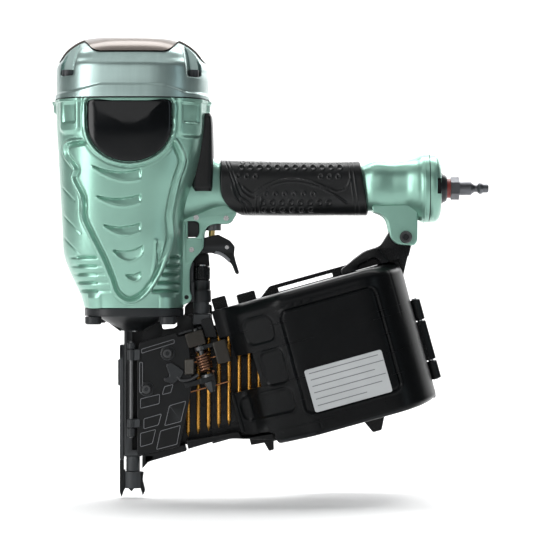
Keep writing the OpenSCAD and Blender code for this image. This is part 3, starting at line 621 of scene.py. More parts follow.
def casting_skin(rows, cols):
    z = np.linspace(CASTING[0][0], CASTING[-1][0], rows)
    s = blend_table(CASTING, z)
    t = spread_angles(cols, 30, 1.6, 0.5)
    cx, a, b = (s[:, 0] + s[:, 1]) / 2, (s[:, 1] - s[:, 0]) / 2, s[:, 2]
    x = cx[:, None] + a[:, None] * power(np.cos(t), 3)[None]
    y = b[:, None] * power(np.sin(t), 3)[None]
    return stacked(x, y, z[:, None])


def grid_normals(p):
    du = np.roll(p, -1, axis=1) - np.roll(p, 1, axis=1)
    dv = np.gradient(p, axis=0)
    n = np.cross(du, dv)
    return n / np.maximum(np.linalg.norm(n, axis=-1, keepdims=True), 1e-9)


def build_casting():
    p = casting_skin(rows=250, cols=380)
    n = grid_normals(p)
    face = smooth(np.abs(n[..., 1]), 0.12, 0.4)
    side = 1 - smooth(np.abs(n[..., 1]), 0.3, 0.6)
    h = casting_relief(p[..., 0], p[..., 2]) * face
    lug = smooth(p[..., 2], 271.5, 274) * (1 - smooth(np.abs(p[..., 1]), 9, 12)) * side
    h = h + 2.2 * lug + 0.9 * smooth(p[..., 2], 279, 279.8) * (1 - face)
    p = p + n * h[..., None]
    shell = capped_grid("main_casting", p, MINT, "frame", sharp=50)
    stand_for(shell, "mint_paint", "housing")


def surface_y(x, z, grow=0.0):
    """The near side's y of the casting, before its relief."""
    s = blend_table(CASTING, np.atleast_1d(z).ravel())
    cx, a, b = (s[:, 0] + s[:, 1]) / 2, (s[:, 1] - s[:, 0]) / 2, s[:, 2]
    k = np.clip(np.abs((np.ravel(x) - cx) / a), 0, 0.999)
    return -(b + grow) * (1 - k ** 3) ** (1 / 3)


def build_badges():
    outline = np.array(BADGE)
    centre = np.array([0.2, 259])
    for side, sign in (("near", 1), ("far", -1)):
        rings = []
        for k, lift in [(0.985, -1.4), (0.985, 0.1), (0.97, 0.45)] + [(r, 0.75 + 0.9 * (1 - r * r))
                                                                      for r in np.linspace(0.94, 0.02, 26)]:
            q = centre + (outline - centre) * k
            y = surface_y(q[:, 0], q[:, 1], lift)
            rings.append(stacked(q[:, 0], y * sign, q[:, 1]))
        badge = capped_grid("badge_" + side, np.array(rings), GLOSS, "frame", sharp=40)
        stand_for(badge, "gloss_black", *(["side_badges"] if sign == 1 else []))


# ---------------------------------------------------------------- handle

HANDLE_Z = 216.7                   # height of the axis of the handle's round end
HANDLE = [  # x, lowest z, highest z, half width, roundness
    [30, 186, 256, 27, 2.4], [44, 191.5, 248, 21.5, 2.4], [54, 195, 242, 19.4, 2.4],
    [60, 197.6, 239.6, 18, 2.5], [66, 199, 236, 16.5, 2.5], [72, 199, 234.4, 15, 2.5],
    [176, 199, 234.3, 14.8, 2.5],
    [181, 198.4, 236.7, 17, 2.5], [200, 198.4, 236.9, 17.5, 2.5], [209, 197.4, 238.4, 19, 2.3],
    [215.5, 193.5, 240.8, 23, 2.1], [219.5, 190.6, 242.9, 26, 2.02], [222, 190, 243.4, 26.7, 2],
    [225, 190, 243.4, 26.7, 2]]
SLEEVE = [  # x at the top, x at the bottom, lowest z, highest z, half width, bend of the line between
    [66.5, 82, 197.6, 236, 16.5, 6], [67.2, 83, 195.9, 237.4, 18, 6], [70, 85.5, 195.4, 237.7, 18.4, 5.5],
    [90, 98, 195.3, 237.2, 18.4, 3], [120, 121, 195.2, 236.6, 18.2, 1.5], [150, 152, 195.4, 236.4, 18, 1],
    [168.8, 175.2, 195.4, 236.9, 18.2, 1], [171.8, 178, 195.7, 236.8, 18, 1], [172.8, 179, 197, 236, 17, 1]]


def build_handle():
    x = np.concatenate([np.linspace(30, 74, 60), np.linspace(74.5, 175, 20), np.linspace(175.5, 225, 90)])
    s = blend_table(HANDLE, x)
    t = circle(120)
    rings = []
    for xi, (low, high, half, e) in zip(x, s):
        z = (low + high) / 2 + (high - low) / 2 * power(np.sin(t), e)
        rings.append(stacked(xi, half * power(np.cos(t), e), z))
    handle = capped_grid("handle_casting", np.array(rings), MINT, "frame", sharp=50)
    stand_for(handle, "mint_paint")
    ring = turned("handle_seam", [(0, 26.2), (0.1, 26.95), (0.5, 27.1), (0.9, 26.95), (1.0, 26.2)],
                  (221.2, 0, HANDLE_Z), ALONG_X, MINT, "frame", 96)
    stand_for(ring, "mint_paint")


def grip_pattern(x, z, near):
    """Ribs and dimples of the sleeve, in mm."""
    h = np.zeros(np.shape(x))
    ribs = [spline([(84, 216.5), (91, 212), (98, 216.5), (110, 221.6), (122, 223), (136, 220.8), (148, 215.8),
                    (155, 213.4), (162, 216), (165, 222)], 8),
            spline([(80.5, 219), (84, 212.5), (91, 208.6), (97, 211.6), (108, 218.4), (122, 220.6),
                    (138, 217.8), (152, 211.4), (162.5, 204.8)], 8),
            spline([(78, 217.5), (81.4, 210), (88, 205.4), (91, 201), (91.2, 194)], 8),
            spline([(94.3, 209.5), (93.6, 203), (94.2, 194)], 6),
            spline([(98, 208.6), (97, 203), (97.6, 194)], 6),
            spline([(75.6, 216), (79.4, 207.4), (85.5, 203), (88.4, 194)], 8)]
    for line in ribs:
        h = h + 0.75 * bump(line_distance(x, z, line), 0, 0.55)
    # rows of dimples: first centre, pitch, how many, radius
    rows = [((83, 231.6), 6.75, 12, 2.0), ((84, 236), 6.6, 12, 1.6), ((143, 224.6), 6.6, 3, 1.6),
            ((101.5, 211.4), 7.1, 6, 1.5), ((99, 205), 7.1, 8, 2.0), ((100, 199.6), 7.1, 6, 1.7)]
    dots = [(x0 + pitch * i, z0, r) for (x0, z0), pitch, count, r in rows for i in range(count)]
    dots += [(80.5 + 6.6 * i, 225 - 0.2 * i, 1.6) for i in range(3)]
    for cx, cz, r in dots:
        d = np.hypot(x - cx, z - cz)
        h = h + 0.6 * bump(d, r * 0.95, 0.5) - 0.5 * bump(d, 0, r * 0.7)
    for edge in (70.5, 73):
        h = h - 0.35 * bump(x, edge + (237 - z) * 0.35, 0.5)
    for edge in (163.5, 166.5):
        h = h + 0.35 * bump(x, edge + (237 - z) * 0.14, 0.6)
    return h * near


def build_grip():
    rows = np.concatenate([np.linspace(0, 2, 10), np.linspace(2.05, 6, 300), np.linspace(6.05, 8, 14)])
    s = blend_table([[i] + r for i, r in enumerate(SLEEVE)], rows)
    t = circle(260)
    rings = []
    for top, low, z0, z1, w, bend in s:
        z = (z0 + z1) / 2 + (z1 - z0) / 2 * power(np.sin(t), 2.6)
        x = top + (low - top) * np.clip((z1 - z) / (z1 - z0), 0, 1) ** bend
        rings.append(stacked(x, w * power(np.cos(t), 2.6), z))
    p = np.array(rings)
    n = grid_normals(p)
    if (n[150, 0] @ np.array([0, 1, 0])) < 0:
        n = -n
    inner = smooth(rows, 0.8, 1.8) * (1 - smooth(rows, 6.4, 7.4))
    h = grip_pattern(p[..., 0], p[..., 2], smooth(np.abs(n[..., 1]), 0.15, 0.5)) * inner[:, None]
    p = p + n * np.minimum(h, 1.0)[..., None]
    grip = capped_grid("grip_sleeve_rubber", p, RUBBER, "frame", sharp=60)
    stand_for(grip, "grip_rubber", "grip_sleeve")


def build_end_cap():
    profile = [(0, 20), (0, 25.6), (0.4, 26.2), (1.0, 26.4), (4.6, 26.2), (6.4, 25.4), (8.0, 23.4),
               (8.8, 21.0), (9.1, 18), (9.1, 14.6), (8.6, 13.6), (7.6, 13.2)]
    cap = turned("rear_cap", profile, (225.3, 0, HANDLE_Z), ALONG_X, MINT, "frame", 120)
    notch = [(230.6, 211.5), (240, 211.5), (240, 223.6), (230.6, 223.6)]
    combine(cap, [plate("notch", notch, y, y + 30, MINT, "frame", 0.3) for y in (-44, 14)])
    stand_for(cap, "mint_paint", "end_cap")
    kit = Kit(PLASTIC)
    profile = [(0, 22), (0.1, 24.6), (5.4, 24.4), (5.5, 12)]
    kit.turned("rear_cap_inlay", profile, (225.4, 0, HANDLE_Z), ALONG_X, 64)
    for side, y in (("near", -14.25), ("far", 14.25)):
        kit.box("rear_notch_" + side, (230.8, 234.2), (y - 0.35, y + 0.35), (211.8, 223.3), 0.2, False)
    kit.keep_apart("black_plastic")
    line = turned("rear_cap_line", [(0, 24), (0.05, 26.1), (0.85, 26.1), (0.9, 24)], (224.7, 0, HANDLE_Z),
                  ALONG_X, PLASTIC, "frame", 96)
    stand_for(line, "grip_rubber")


# ---------------------------------------------------------------- head cap and exhaust cover

CAP_SHAPE = [  # place along the profile, z, half length, half width
    [0, 282.6, 57.2, 57], [18.4, 301, 57.5, 57], [24.9, 307.5, 56.8, 56], [30.3, 312, 53.8, 53],
    [35.0, 316, 51.4, 50.4], [39.7, 319.5, 48.3, 47.2], [46.2, 323.5, 43.2, 42],
    [52.1, 326.3, 38, 36.8], [57.4, 327.5, 33, 32], [61.8, 328.0, 28, 27], [90, 328.6, 1, 1]]
LOBE = rounded([(-40, 345), (-39, 329.5), (-32.5, 324.5), (-28.5, 319.5), (-23.5, 317.2), (26.5, 317.2),
                (31, 319.8), (35, 325.4), (40.5, 329), (41, 345)], 3)
WING = rounded([(-26, 345), (-26, 320), (-23, 313), (-19, 311.2), (19, 311.2), (23, 313), (26, 320),
                (26, 345)], 3)


def cap_skin(rows, cols, grow=0.0):
    skirt = int(rows * 0.75)
    place = np.concatenate([np.linspace(0, 50, skirt), np.linspace(50.5, 90, rows - skirt)])
    s = blend_table(CAP_SHAPE, place)
    t = spread_angles(cols, 28, 1.5, 0.6)
    x = (s[:, 1] + grow)[:, None] * power(np.cos(t), 3)[None]
    y = (s[:, 2] + grow)[:, None] * power(np.sin(t), 3)[None]
    return stacked(x, y, (s[:, 0] + grow * smooth(s[:, 0], 300, 326))[:, None])


def flute_mask(x, z):
    """Where the channels of the cap bolts are, seen from the front."""
    left = [(-40.6, 327.5), (-35.6, 325.2), (-39.2, 315), (-41.2, 305), (-41.4, 298.4), (-52.6, 298.4),
            (-52.6, 307), (-48.4, 318.4)]
    right = [(37.4, 325.2), (41.8, 327), (49.2, 319), (53, 307), (53, 297.6), (42.4, 297.6), (42.2, 305),
             (40.6, 315)]
    d = np.maximum(signed_distance(x, z, rounded(left, 2.5)), signed_distance(x, z, rounded(right, 2.5)))
    return smooth(d, -0.3, 2.4)


def build_cap():
    p = cap_skin(130, 360)
    n = grid_normals(p)
    face = smooth(np.abs(n[..., 1]), 0.25, 0.5)
    x, y, z = p[..., 0], p[..., 1], p[..., 2]
    brow = np.interp(x, [-60, -41.2, -21.4, 26.1, 41.3, 60], [285.6, 286.8, 291.4, 291.1, 285.9, 285.4])
    h = 1.5 * smooth(brow - z, -0.8, 1.0) * face + 0.5 * bump(z, brow + 0.2, 0.7) * face
    h = h + 1.2 * smooth(286 - z, -0.8, 1.0) * (1 - face)
    p = p + n * h[..., None] * (smooth(np.abs(z - 282.6), -1, 0) > 0)[..., None]
    deep = flute_mask(x, z)
    wall = np.where(np.abs(y) > 30.5, np.sign(y) * 30.5, y)
    p[..., 1] = p[..., 1] + (wall - p[..., 1]) * deep * smooth(np.abs(y), 8, 20)
    cap = capped_grid("head_cap", p, CAP, "frame", sharp=45)
    stand_for(cap, "cap_paint", "cylinder_cap")


def grown(outline, by):
    """An outline pushed out by a distance, for outlines without tight corners."""
    q = np.array(outline)
    tangent = np.roll(q, -1, axis=0) - np.roll(q, 1, axis=0)
    normal = np.stack([tangent[:, 1], -tangent[:, 0]], axis=1)
    normal /= np.maximum(np.linalg.norm(normal, axis=1)[:, None], 1e-6)
    return [tuple(v) for v in q + normal * by]


def cap_front(x, z):
    """The near side's y of the cap."""
    heights, lengths, widths = ([row[k] for row in CAP_SHAPE] for k in (1, 2, 3))
    return -np.interp(z, heights, widths) * (1 - abs(x / np.interp(z, heights, lengths)) ** 3) ** (1 / 3)


def build_exhaust():
    for name, lift, by, mat, slot, nodes in (
            ("exhaust_cover_shell", 0.9, 0.0, BRONZE, "cover_bronze", ["exhaust_cover"]),
            ("exhaust_cover_gasket", 0.25, 1.0, PLASTIC, "grip_rubber", [])):
        dome = capped_grid(name, cap_skin(90, 240, lift), mat, "frame", sharp=45)
        lobe = plate("lobe", grown(LOBE, by), -80, 80, mat, "frame", 0.1, "xz")
        wing = plate("wing", grown(WING, by), -80, 80, mat, "frame", 0.1, "yz")
        combine(lobe, [wing], "UNION")
        combine(dome, [lobe], "INTERSECT")
        stand_for(dome, slot, *nodes)
    for k, z, left, right in ((0, 323.6, -27, 30), (1, 320.6, -24, 26)):
        path = [(x, cap_front(x, z) - 0.75, z + 0.4) for x in np.linspace(left, right, 24)]
        rib = tube("exhaust_rib_%d" % k, path, 0.42, BRONZE, "frame", 8)
        stand_for(rib, "cover_bronze")


# ---------------------------------------------------------------- trigger bracket and rear fork

TRIGGER_PIN = (45, 169.3)          # x and z
ARM_BOLT = (207.3, 178.9)          # x and z
BRACKET = rounded([(54.1, 170.5), (45.9, 161.1), (43.7, 154.3), (43.7, 137.6), (45.4, 133.9), (44.5, 130.4),
                   (38.5, 127), (30, 127), (30, 206), (70, 206), (74, 201), (79.6, 197.8), (77, 193.6),
                   (75.2, 190.4), (72, 189), (62.3, 188.8), (57, 187), (54.6, 182.4)], 2.2)
WINDOW = rounded([(40.6, 178.4), (48.4, 178.4), (50.6, 181), (50.6, 189.6), (48, 191), (40.6, 191)], 1.6)
PAD = rounded([(40.4, 177.4), (52.8, 177.4), (53.3, 171), (45.4, 161.8), (44.4, 158.8), (40.4, 158.8)], 1)
FORK = rounded([(181, 203), (182.5, 197.8), (188, 196.4), (192.5, 193), (194.4, 187), (195.6, 178),
                (200, 173.4), (213.4, 172.2), (216.2, 175.6), (216.4, 204)], 3)


def cross_hole(at, y, radius, length, sides, body="frame"):
    """A cutter along y, from y on."""
    return turned("hole", [(0, radius), (length, radius)], (at[0], y, at[1]), ALONG_Y, MINT, body, sides)


def build_brackets():
    kit = Kit(MINT)
    for side, y0, pad_y, ear_y in (("near", -11, -11.7, -14), ("far", 8, 10.9, 9)):
        bracket = kit.plate("trigger_bracket_" + side, [BRACKET, WINDOW], y0, y0 + 3, 0.7)
        combine(bracket, [cross_hole((41.1, 133.3), y0 - 2, 1.7, 8, 24)])
        pad = kit.plate("bracket_pad_" + side, PAD, pad_y, pad_y + 0.8, 0.35)
        combine(pad, [cross_hole(TRIGGER_PIN, pad_y - 2, 2.7, 8, 32)])
        kit.plate("rear_fork_" + side, FORK, ear_y, ear_y + 5, 1.2, segments=3)
    kit.plate("bracket_web", rounded([(34, 174), (42, 174), (42, 193), (34, 193)], 1), -8.4, 8.4)
    kit.keep_apart("mint_paint")


def build_arm_bolt():
    kit = Kit(DARK_STEEL)
    x, z = ARM_BOLT
    kit.turned("arm_bolt_shaft", [(0, 3), (29, 3)], (x, -14.5, z), ALONG_Y)
    profile = [(0, 4.4), (0.3, 4.7), (2.6, 4.7), (3.3, 4.2), (3.3, 2.6), (1.8, 2.5), (1.8, 1.6)]
    for way in (-1, 1):
        kit.turned("arm_bolt_head", profile, (x, 14.1 * way, z), (0, way, 0), 40)
    kit.join("magazine_arm_bolt", "black_metal", "magazine_bolt")


def build_rear_pad():
    rows = [(213.5, 47, 60.4), (216, 45.6, 61.2), (222, 45, 61.5), (240, 48, 61.5), (255, 51.5, 61.2),
            (268, 53.4, 60.6), (271, 53.8, 60.2), (272.2, 54.4, 59.4)]
    z = np.linspace(213.5, 272.2, 60)
    s = blend_table(rows, z)
    t = circle(96)
    rings = []
    for zi, (x0, x1) in zip(z, s):
        end = 24 - 2.2 * smooth(zi, 269, 272.2) - 2.0 * (1 - smooth(zi, 213.5, 216.5))
        x = (x0 + x1) / 2 + (x1 - x0) / 2 * power(np.cos(t), 6)
        rings.append(stacked(x, end * power(np.sin(t), 7), zi))
    pad = capped_grid("rear_guard", np.array(rings), RUBBER, "frame", sharp=50)
    stand_for(pad, "grip_rubber", "rear_pad")


# ---------------------------------------------------------------- magazine

FRONT = [(88.2, -10.4), (95, -10.6), (99.5, -12.5), (104, -18.5), (109, -26), (116, -33.6), (125, -41.5),
         (133, -47.6), (140, -51.3), (147, -52.5), (160, -52.6), (190, -52.6), (204, -52.5),
         (212, -51.2), (220, -47), (228, -38.6), (234, -25.5), (237.8, -10), (238.9, 4.8)]
DRUM_LOW, DRUM_TOP = -7.4, 102     # z of the drum in the magazine's frame
COVER_PIN = (242, 5, 0)
FAR_HALF = [(111.2, 5.2)] + [(175 + 64 * power(math.cos(math.radians(a)), 2.6),
                              5.2 + 56.6 * power(math.sin(math.radians(a)), 2.6))
                             for a in np.linspace(179, 1, 80)] + [(238.8, 5.2)]
POCKETS = [(110.5, 133, 68.5, 89, 6), (116.6, 134.4, 36, 63, 5), (92, 134, 14, 33, 6)]

# The cover's left edge, (z, x), stepped so that the nails show
THROAT_EDGE = [(-8, 112.4), (1, 112.4), (3.2, 108), (3.5, 96), (5.8, 90.4), (12, 88.3), (37.6, 88.3),
               (37.9, 112.4), (64, 112.4), (64.3, 98.4), (80.6, 98.4), (80.9, 90.6), (103, 90.6)]
BARREL_GAPS = [(6, 21.2), (52.4, 69.6)]


def cover_relief(x, z, label_side):
    h = np.zeros(np.shape(x))
    d = box_distance(x, z, 139.2, 213.2, 8.8, 89, 6)
    h = h + 0.62 * smooth(d, 1.2, 2.2) - 0.7 * bump(d, 0.7, 0.55) + 0.6 * bump(d, -0.7, 0.7)
    for x0, x1, z0, z1, r in POCKETS if label_side else []:
        q = box_distance(x, z, x0, x1, z0, z1, r)
        h = h + 0.4 * bump(q, -0.2, 0.5) - 0.75 * smooth(q, 0.3, 1.5)
    for x0 in (146, 153, 160) if label_side else []:
        h = h + 0.5 * smooth(box_distance(x, z, x0, x0 + 5, 90.5, 91.9, 0.6), -0.3, 0.5)
    if label_side:
        h = h - 0.45 * bump(x, 147, 0.5) * (1 - smooth(z, 4.5, 6)) * smooth(z, -6, -5)
        h = h - 0.4 * bump(x, 227.5, 0.6) * smooth(z, 60, 64)
    return h


def dense(points, step):
    """The curve through the points, resampled evenly."""
    p = spline(points, 24)
    along = path_length(p)
    at = np.linspace(0, along[-1], int(along[-1] / step))
    return np.stack([np.interp(at, along, p[:, k]) for k in (0, 1)], axis=1)


def path_length(line):
    """The length along a line up to each of its points."""
    return np.concatenate([[0], np.cumsum(np.linalg.norm(np.diff(line, axis=0), axis=1))])


def side_normals(line):
    """Unit vectors to the right of an open line."""
    tangent = np.gradient(line, axis=0)
    normal = np.stack([tangent[:, 1], -tangent[:, 0]], axis=1)
    return normal / np.linalg.norm(normal, axis=1)[:, None]


def inner_curve(points, by):
    p = np.array(points, float)
    return p - side_normals(p) * by


def rim_inset(z, top_r, low_r):
    """How far a drum wall leans in at height z where its upper and lower edges are rounded."""
    over, under = max(0, z - (DRUM_TOP - top_r)), max(0, (DRUM_LOW + low_r) - z)
    return (top_r - math.sqrt(max(top_r ** 2 - over ** 2, 0)) + low_r
            - math.sqrt(max(low_r ** 2 - under ** 2, 0)))


def far_shell():
    """The drum's far half, hollow and open toward the cover."""
    line = dense(FAR_HALF[::-1], 1.2)
    normal = side_normals(line)
    edge = smooth(np.abs(line[:, 1] - line[-1, 1]), 0, 12)
    top_r, low_r = 8, 4.5
    heights = np.concatenate([DRUM_LOW + low_r * (1 - np.cos(np.linspace(0, math.pi / 2, 8)))[:-1],
                              np.linspace(DRUM_LOW + low_r, DRUM_TOP - top_r, 120),
                              DRUM_TOP - top_r * (1 - np.sin(np.linspace(0, math.pi / 2, 12)))[1:]])
    rings = []
    for z in heights:
        inset = rim_inset(z, top_r, low_r)
        h = cover_relief(line[:, 0], z, False) * smooth(np.abs(normal[:, 1]), 0.4, 0.75)
        q = line + normal * (h - inset * (0.35 + 0.65 * edge))[:, None]
        rings.append(stacked(*q.T, z))
    shell = capped_grid("magazine_shell", np.array(rings), PLASTIC, "frame", tilted=True, sharp=40)
    cavity = [tuple(p) for p in inner_curve(line[::4], 3)] + [(114.2, -30), (235.6, -30)]
    hollow = plate("cavity", cavity, -4.4, 98.8, PLASTIC, "frame", 0.02, "xy", tilted=True)
    return combine(shell, [hollow, cut_box((100, 140), (0, 7.9), (-4, 97))])


def cover_heights(floor_z, roof_z):
    """Heights of the cover's rings: an even row, and the places where its shape steps."""
    steps = [z for z, _ in THROAT_EDGE if DRUM_LOW < z < DRUM_TOP]
    steps += [g + d for pair in BARREL_GAPS for g in pair for d in (0, 0.3)]
    rounds = [DRUM_LOW + 4.5 * (1 - math.cos(a)) for a in np.linspace(0, math.pi / 2, 8)]
    rounds += [DRUM_TOP - 9 * (1 - math.sin(a)) for a in np.linspace(0, math.pi / 2, 12)]
    ends = [floor_z, floor_z + 0.02, roof_z - 0.02, roof_z]
    return sorted(set(np.round(list(np.linspace(DRUM_LOW, DRUM_TOP, 130)) + steps + rounds + ends, 3)))


def cover_shell(wall=3, back=4.8, count=250):
    """The drum's near half as one closed thin wall with a floor and a roof, open at the back."""
    line = dense(FRONT, 0.5)
    along = path_length(line)
    normal = side_normals(line)
    floor_z, roof_z = DRUM_LOW + wall, DRUM_TOP - 3.2
    rings = []
    for z in cover_heights(floor_z, roof_z):
        start = np.interp(np.interp(z, *zip(*THROAT_EDGE)), line[:, 0], along)
        gap = any(low <= z <= high for low, high in BARREL_GAPS)
        end = along[-1] if not gap else np.interp(-0.8, line[-60:, 1], along[-60:])
        at = np.linspace(start, end, count)
        p, n = (np.stack([np.interp(at, along, v[:, k]) for k in (0, 1)], axis=1) for v in (line, normal))
        inset = rim_inset(z, 9, 4.5) * smooth(p[:, 0], 99, 112) * (1 + 0.7 * smooth(p[:, 0], 212, 236))
        lean = inset * (0.7 + 0.3 * smooth(np.abs(p[:, 1] - line[-1, 1]), 0, 12))
        h = cover_relief(p[:, 0], z, True) * smooth(np.abs(n[:, 1]), 0.4, 0.75)
        outer = p + n * (h - lean)[:, None]
        if floor_z < z < roof_z:
            inner = p - n * np.maximum(wall, lean + 1.5)[:, None]
            inner[:, 1] = np.minimum(inner[:, 1], back)
        else:
            post = np.sqrt(np.maximum(5.2 ** 2 - (outer[:, 0] - 175) ** 2, 0)) if z < 0 else 0
            inner = np.stack([outer[:, 0], back - post + 0 * outer[:, 0]], axis=1)
        rings.append(stacked(*np.vstack([outer, inner[::-1]]).T, z))
    return capped_grid("magazine_cover_shell", np.array(rings), COVER, "magazine_cover", tilted=True,
                       sharp=40)


def build_cover():
    kit = Kit(COVER, "magazine_cover")
    kit.keep(cover_shell())
    for k in range(4):
        kit.box("rib", (229.5, 241), (-2.4, 1.5), (21.8 + 9.2 * k, 24.2 + 9.2 * k), 0.5)
    kit.box("strap", (229, 240.5), (-0.8, 3.8), (21.7, 51.9), 0.8)
    kit.barrel("hinge_barrel", 21.6, 52, 4.2, 0.6, COVER_PIN, 40, tilted=True)
    kit.box("window_rib", (112.4, 116.4), (-24, -14), (39, 62.6), 1)
    kit.box("cheek", (88.1, 91), (-11, 4.6), (6.4, 37.2), 1)
    kit.join("magazine_cover_shell", "black_plastic", "magazine_cover")


def build_label():
    x0, x1, z0, z1 = 146, 205.4, 9.5, 41.9
    label = plate("blank_label", rounded([(x0, z0), (x1, z0), (x1, z1), (x0, z1)], 2), -53.85, -53.35, LABEL,
                  "magazine_cover", 0.1, tilted=True)
    stand_for(label, "label_grey", "label_plate")
    bars = Kit(GREY_AND_HIGHLIGHT, "magazine_cover")
    for k, length in enumerate((53, 56, 48, 55, 51, 38)):
        bars.box("bar", (149, 149 + length), (-53.93, -53.6), (38.3 - 4.9 * k, 39 - 4.9 * k), 0.05)
    bars.join("label_lines", "label_grey")


ARM = rounded([(207.3, 186), (196, 184), (194.4, 181.9), (189.1, 173.3), (186.7, 171.8), (176.3, 168.4),
               (167.2, 161.7), (160, 154), (164, 139), (210, 127), (211.3, 131), (206.3, 150),
               (211.9, 172.3), (212.6, 182)], 2.4)
ARM_SIDE = rounded([(158, 154), (167.2, 161.2), (176.3, 167.9), (186.7, 171.3), (190, 166), (203.5, 150),
                    (209, 128), (165, 138)], 2)
ARM_HOLE = rounded([(171, 157), (184, 163.5), (199.5, 147), (201, 139), (172, 147.4)], 2.5)
# outline, corner radius, near and far y, edge, all in the magazine's frame
BODY_PLATES = {
    "strip_floor": ([(46, 12.5), (60, 11), (86, 8.5), (87.4, 2.6), (111, 0.5), (111, -5), (103.6, -2.7),
                     (92, 1), (80.4, 4.4), (72.3, 6), (64.8, 6.2), (45.5, 5.9)], 1, -9, 9, 0.5),
    "strip_floor_rear": ([(92, 0), (128, -4.4), (128, -8.2), (92, -5)], 0.8, 5.4, 12, 0.5),
    "foot": ([(176, -4), (180, -10.6), (184.6, -20.6), (191.5, -20.6), (197, -10), (198, -4)],
             1.2, 6, 16, 0.8),
    "small_foot": ([(102, -5), (110, -5), (108, -13), (104, -13)], 0.8, 6, 12, 0.5),
    "arm_root": ([(222, 99), (236, 98.9), (236, 70), (239, 70), (239.2, 89.4), (249, 107.5), (240, 111),
                  (222, 107)], 0.8, 5.3, 12, 0.6)}


def guide_wall():
    """The wall behind the strip of nails, cut clear of the nose."""
    outline = [(61, 7), (80, 5), (92, 1.5), (104, -2.2), (112, -5.4), (128, -7.2), (128, 94), (104, 94),
               (104, 91), (59.6, 91)]
    wall = plate("guide_wall", rounded(outline, 1), 5.25, 7.8, PLASTIC, "frame", 0.3, tilted=True)
    clear = [(5, 12), (41.3, 20.2), (58.4, 26.6), (58.4, 64.2), (46.2, 111.8), (33, 108), (5, 99)]
    return combine(wall, [plate("clear", clear, 3, 10, PLASTIC, "frame", 0.02)])


def build_magazine_body():
    kit = Kit(PLASTIC)
    kit.keep(far_shell())
    kit.keep(guide_wall())
    for k in range(9):
        kit.box("wall_rib", (64, 97), (4.35, 5.6), (4 + 9.8 * k, 5.6 + 9.8 * k), 0.3)
    for name, (outline, radius, y0, y1, edge) in BODY_PLATES.items():
        kit.plate(name, rounded(outline, radius), y0, y1, edge, tilted=True)
    for z0, z1 in ((53, 69), (6.5, 20.5)):
        kit.barrel("barrel", z0, z1, 4.2, 0.6, COVER_PIN, 40, tilted=True)
        kit.box("barrel_strap", (232, 242), (5.3, 9.2), (z0, z1), 0.8)
    kit.plate("top_bar", [rounded([(128, 101), (205, 101), (205, 108.6), (138, 108.6)], 1.5),
                          rounded([(144, 102.6), (187, 102.6), (187, 105.6), (144, 105.6)], 0.6)], 6, 12, 0.6,
              tilted=True)
    kit.box("top_tab", (111.6, 126), (6, 18), (100, 108.8), 0.8)
    kit.box("corner_tab", (92.4, 103.4), (6, 14), (92, 111), 0.8)
    kit.box("rear_pocket", (150, 200), (61, 62), (20, 70), 0.4)
    kit.join("magazine_body_shell", "black_plastic", "magazine_body")


def build_magazine_arm():
    """The arm to the handle's fork, cut clear of the drum."""
    arm = plate("magazine_arm", ARM, -8.3, 8.3, PLASTIC, "frame", 1.4, segments=3)
    side = plate("arm_side", [ARM_SIDE, ARM_HOLE], -14.8, 14.8, PLASTIC, "frame", 1, segments=3)
    drum = np.vstack([dense(FAR_HALF, 4), inner_curve(dense(FRONT, 4), -1)[::-1]])
    inside = plate("clear", [tuple(p) for p in drum], -20, 102.4, PLASTIC, "frame", 0.02, "xy", tilted=True)
    combine(arm, [side], "UNION")
    combine(arm, [inside, cut_box((60, 260), (-80, 5.1), (60, 102.6))])
    stand_for(arm, "black_plastic")


# ---------------------------------------------------------------- nose and door

DOOR_PIN = (-0.8, -9.9, 0)


def ring_at(z, t, a, b, e, centre=0.0):
    """A superellipse at height z."""
    return stacked(centre + a * power(np.cos(t), e), b * power(np.sin(t), e), z)


def nose_column():
    """The drive channel: a square column with a bore, a window on the right and slots in front."""
    column = box_piece("nose_column", (-6.5, 7), (-6.5, 7), (12, 112), BLACK_METAL, "frame", 1, False)
    cuts = [cut_box((-0.5, 8.5), (-7.4, 4.4), (17, 108), 1, False),
            cut_box((-5.2, -2.6), (-9, -5.6), (40, 83), 1, False),
            cut_box((-4.4, 4.4), (-9, -5.4), (100.4, 107), 0.6, False),
            turned("cutter", [(-2, 4.3), (126, 4.3)], (0, 0, 0), UP, BLACK_METAL, "frame", 40)]
    return combine(column, cuts)


def nose_wall():
    outline = [(6, 12.6), (41, 20.8), (42.6, 18.6), (60, 22.4), (60, 64), (47, 109), (46.5, 117), (41, 119.3),
               (33.9, 119.3), (33.9, 112), (31.5, 109.6), (22.4, 108.6), (20.5, 119.3), (6, 119.3)]
    wall = plate("nose_wall", rounded(outline, 1.5), 4.6, 7.4, BLACK_METAL, "frame", 0.4)
    return combine(wall, [cut_box((24, 47.6), (4, 8), (45.6, 58.4), 1)])


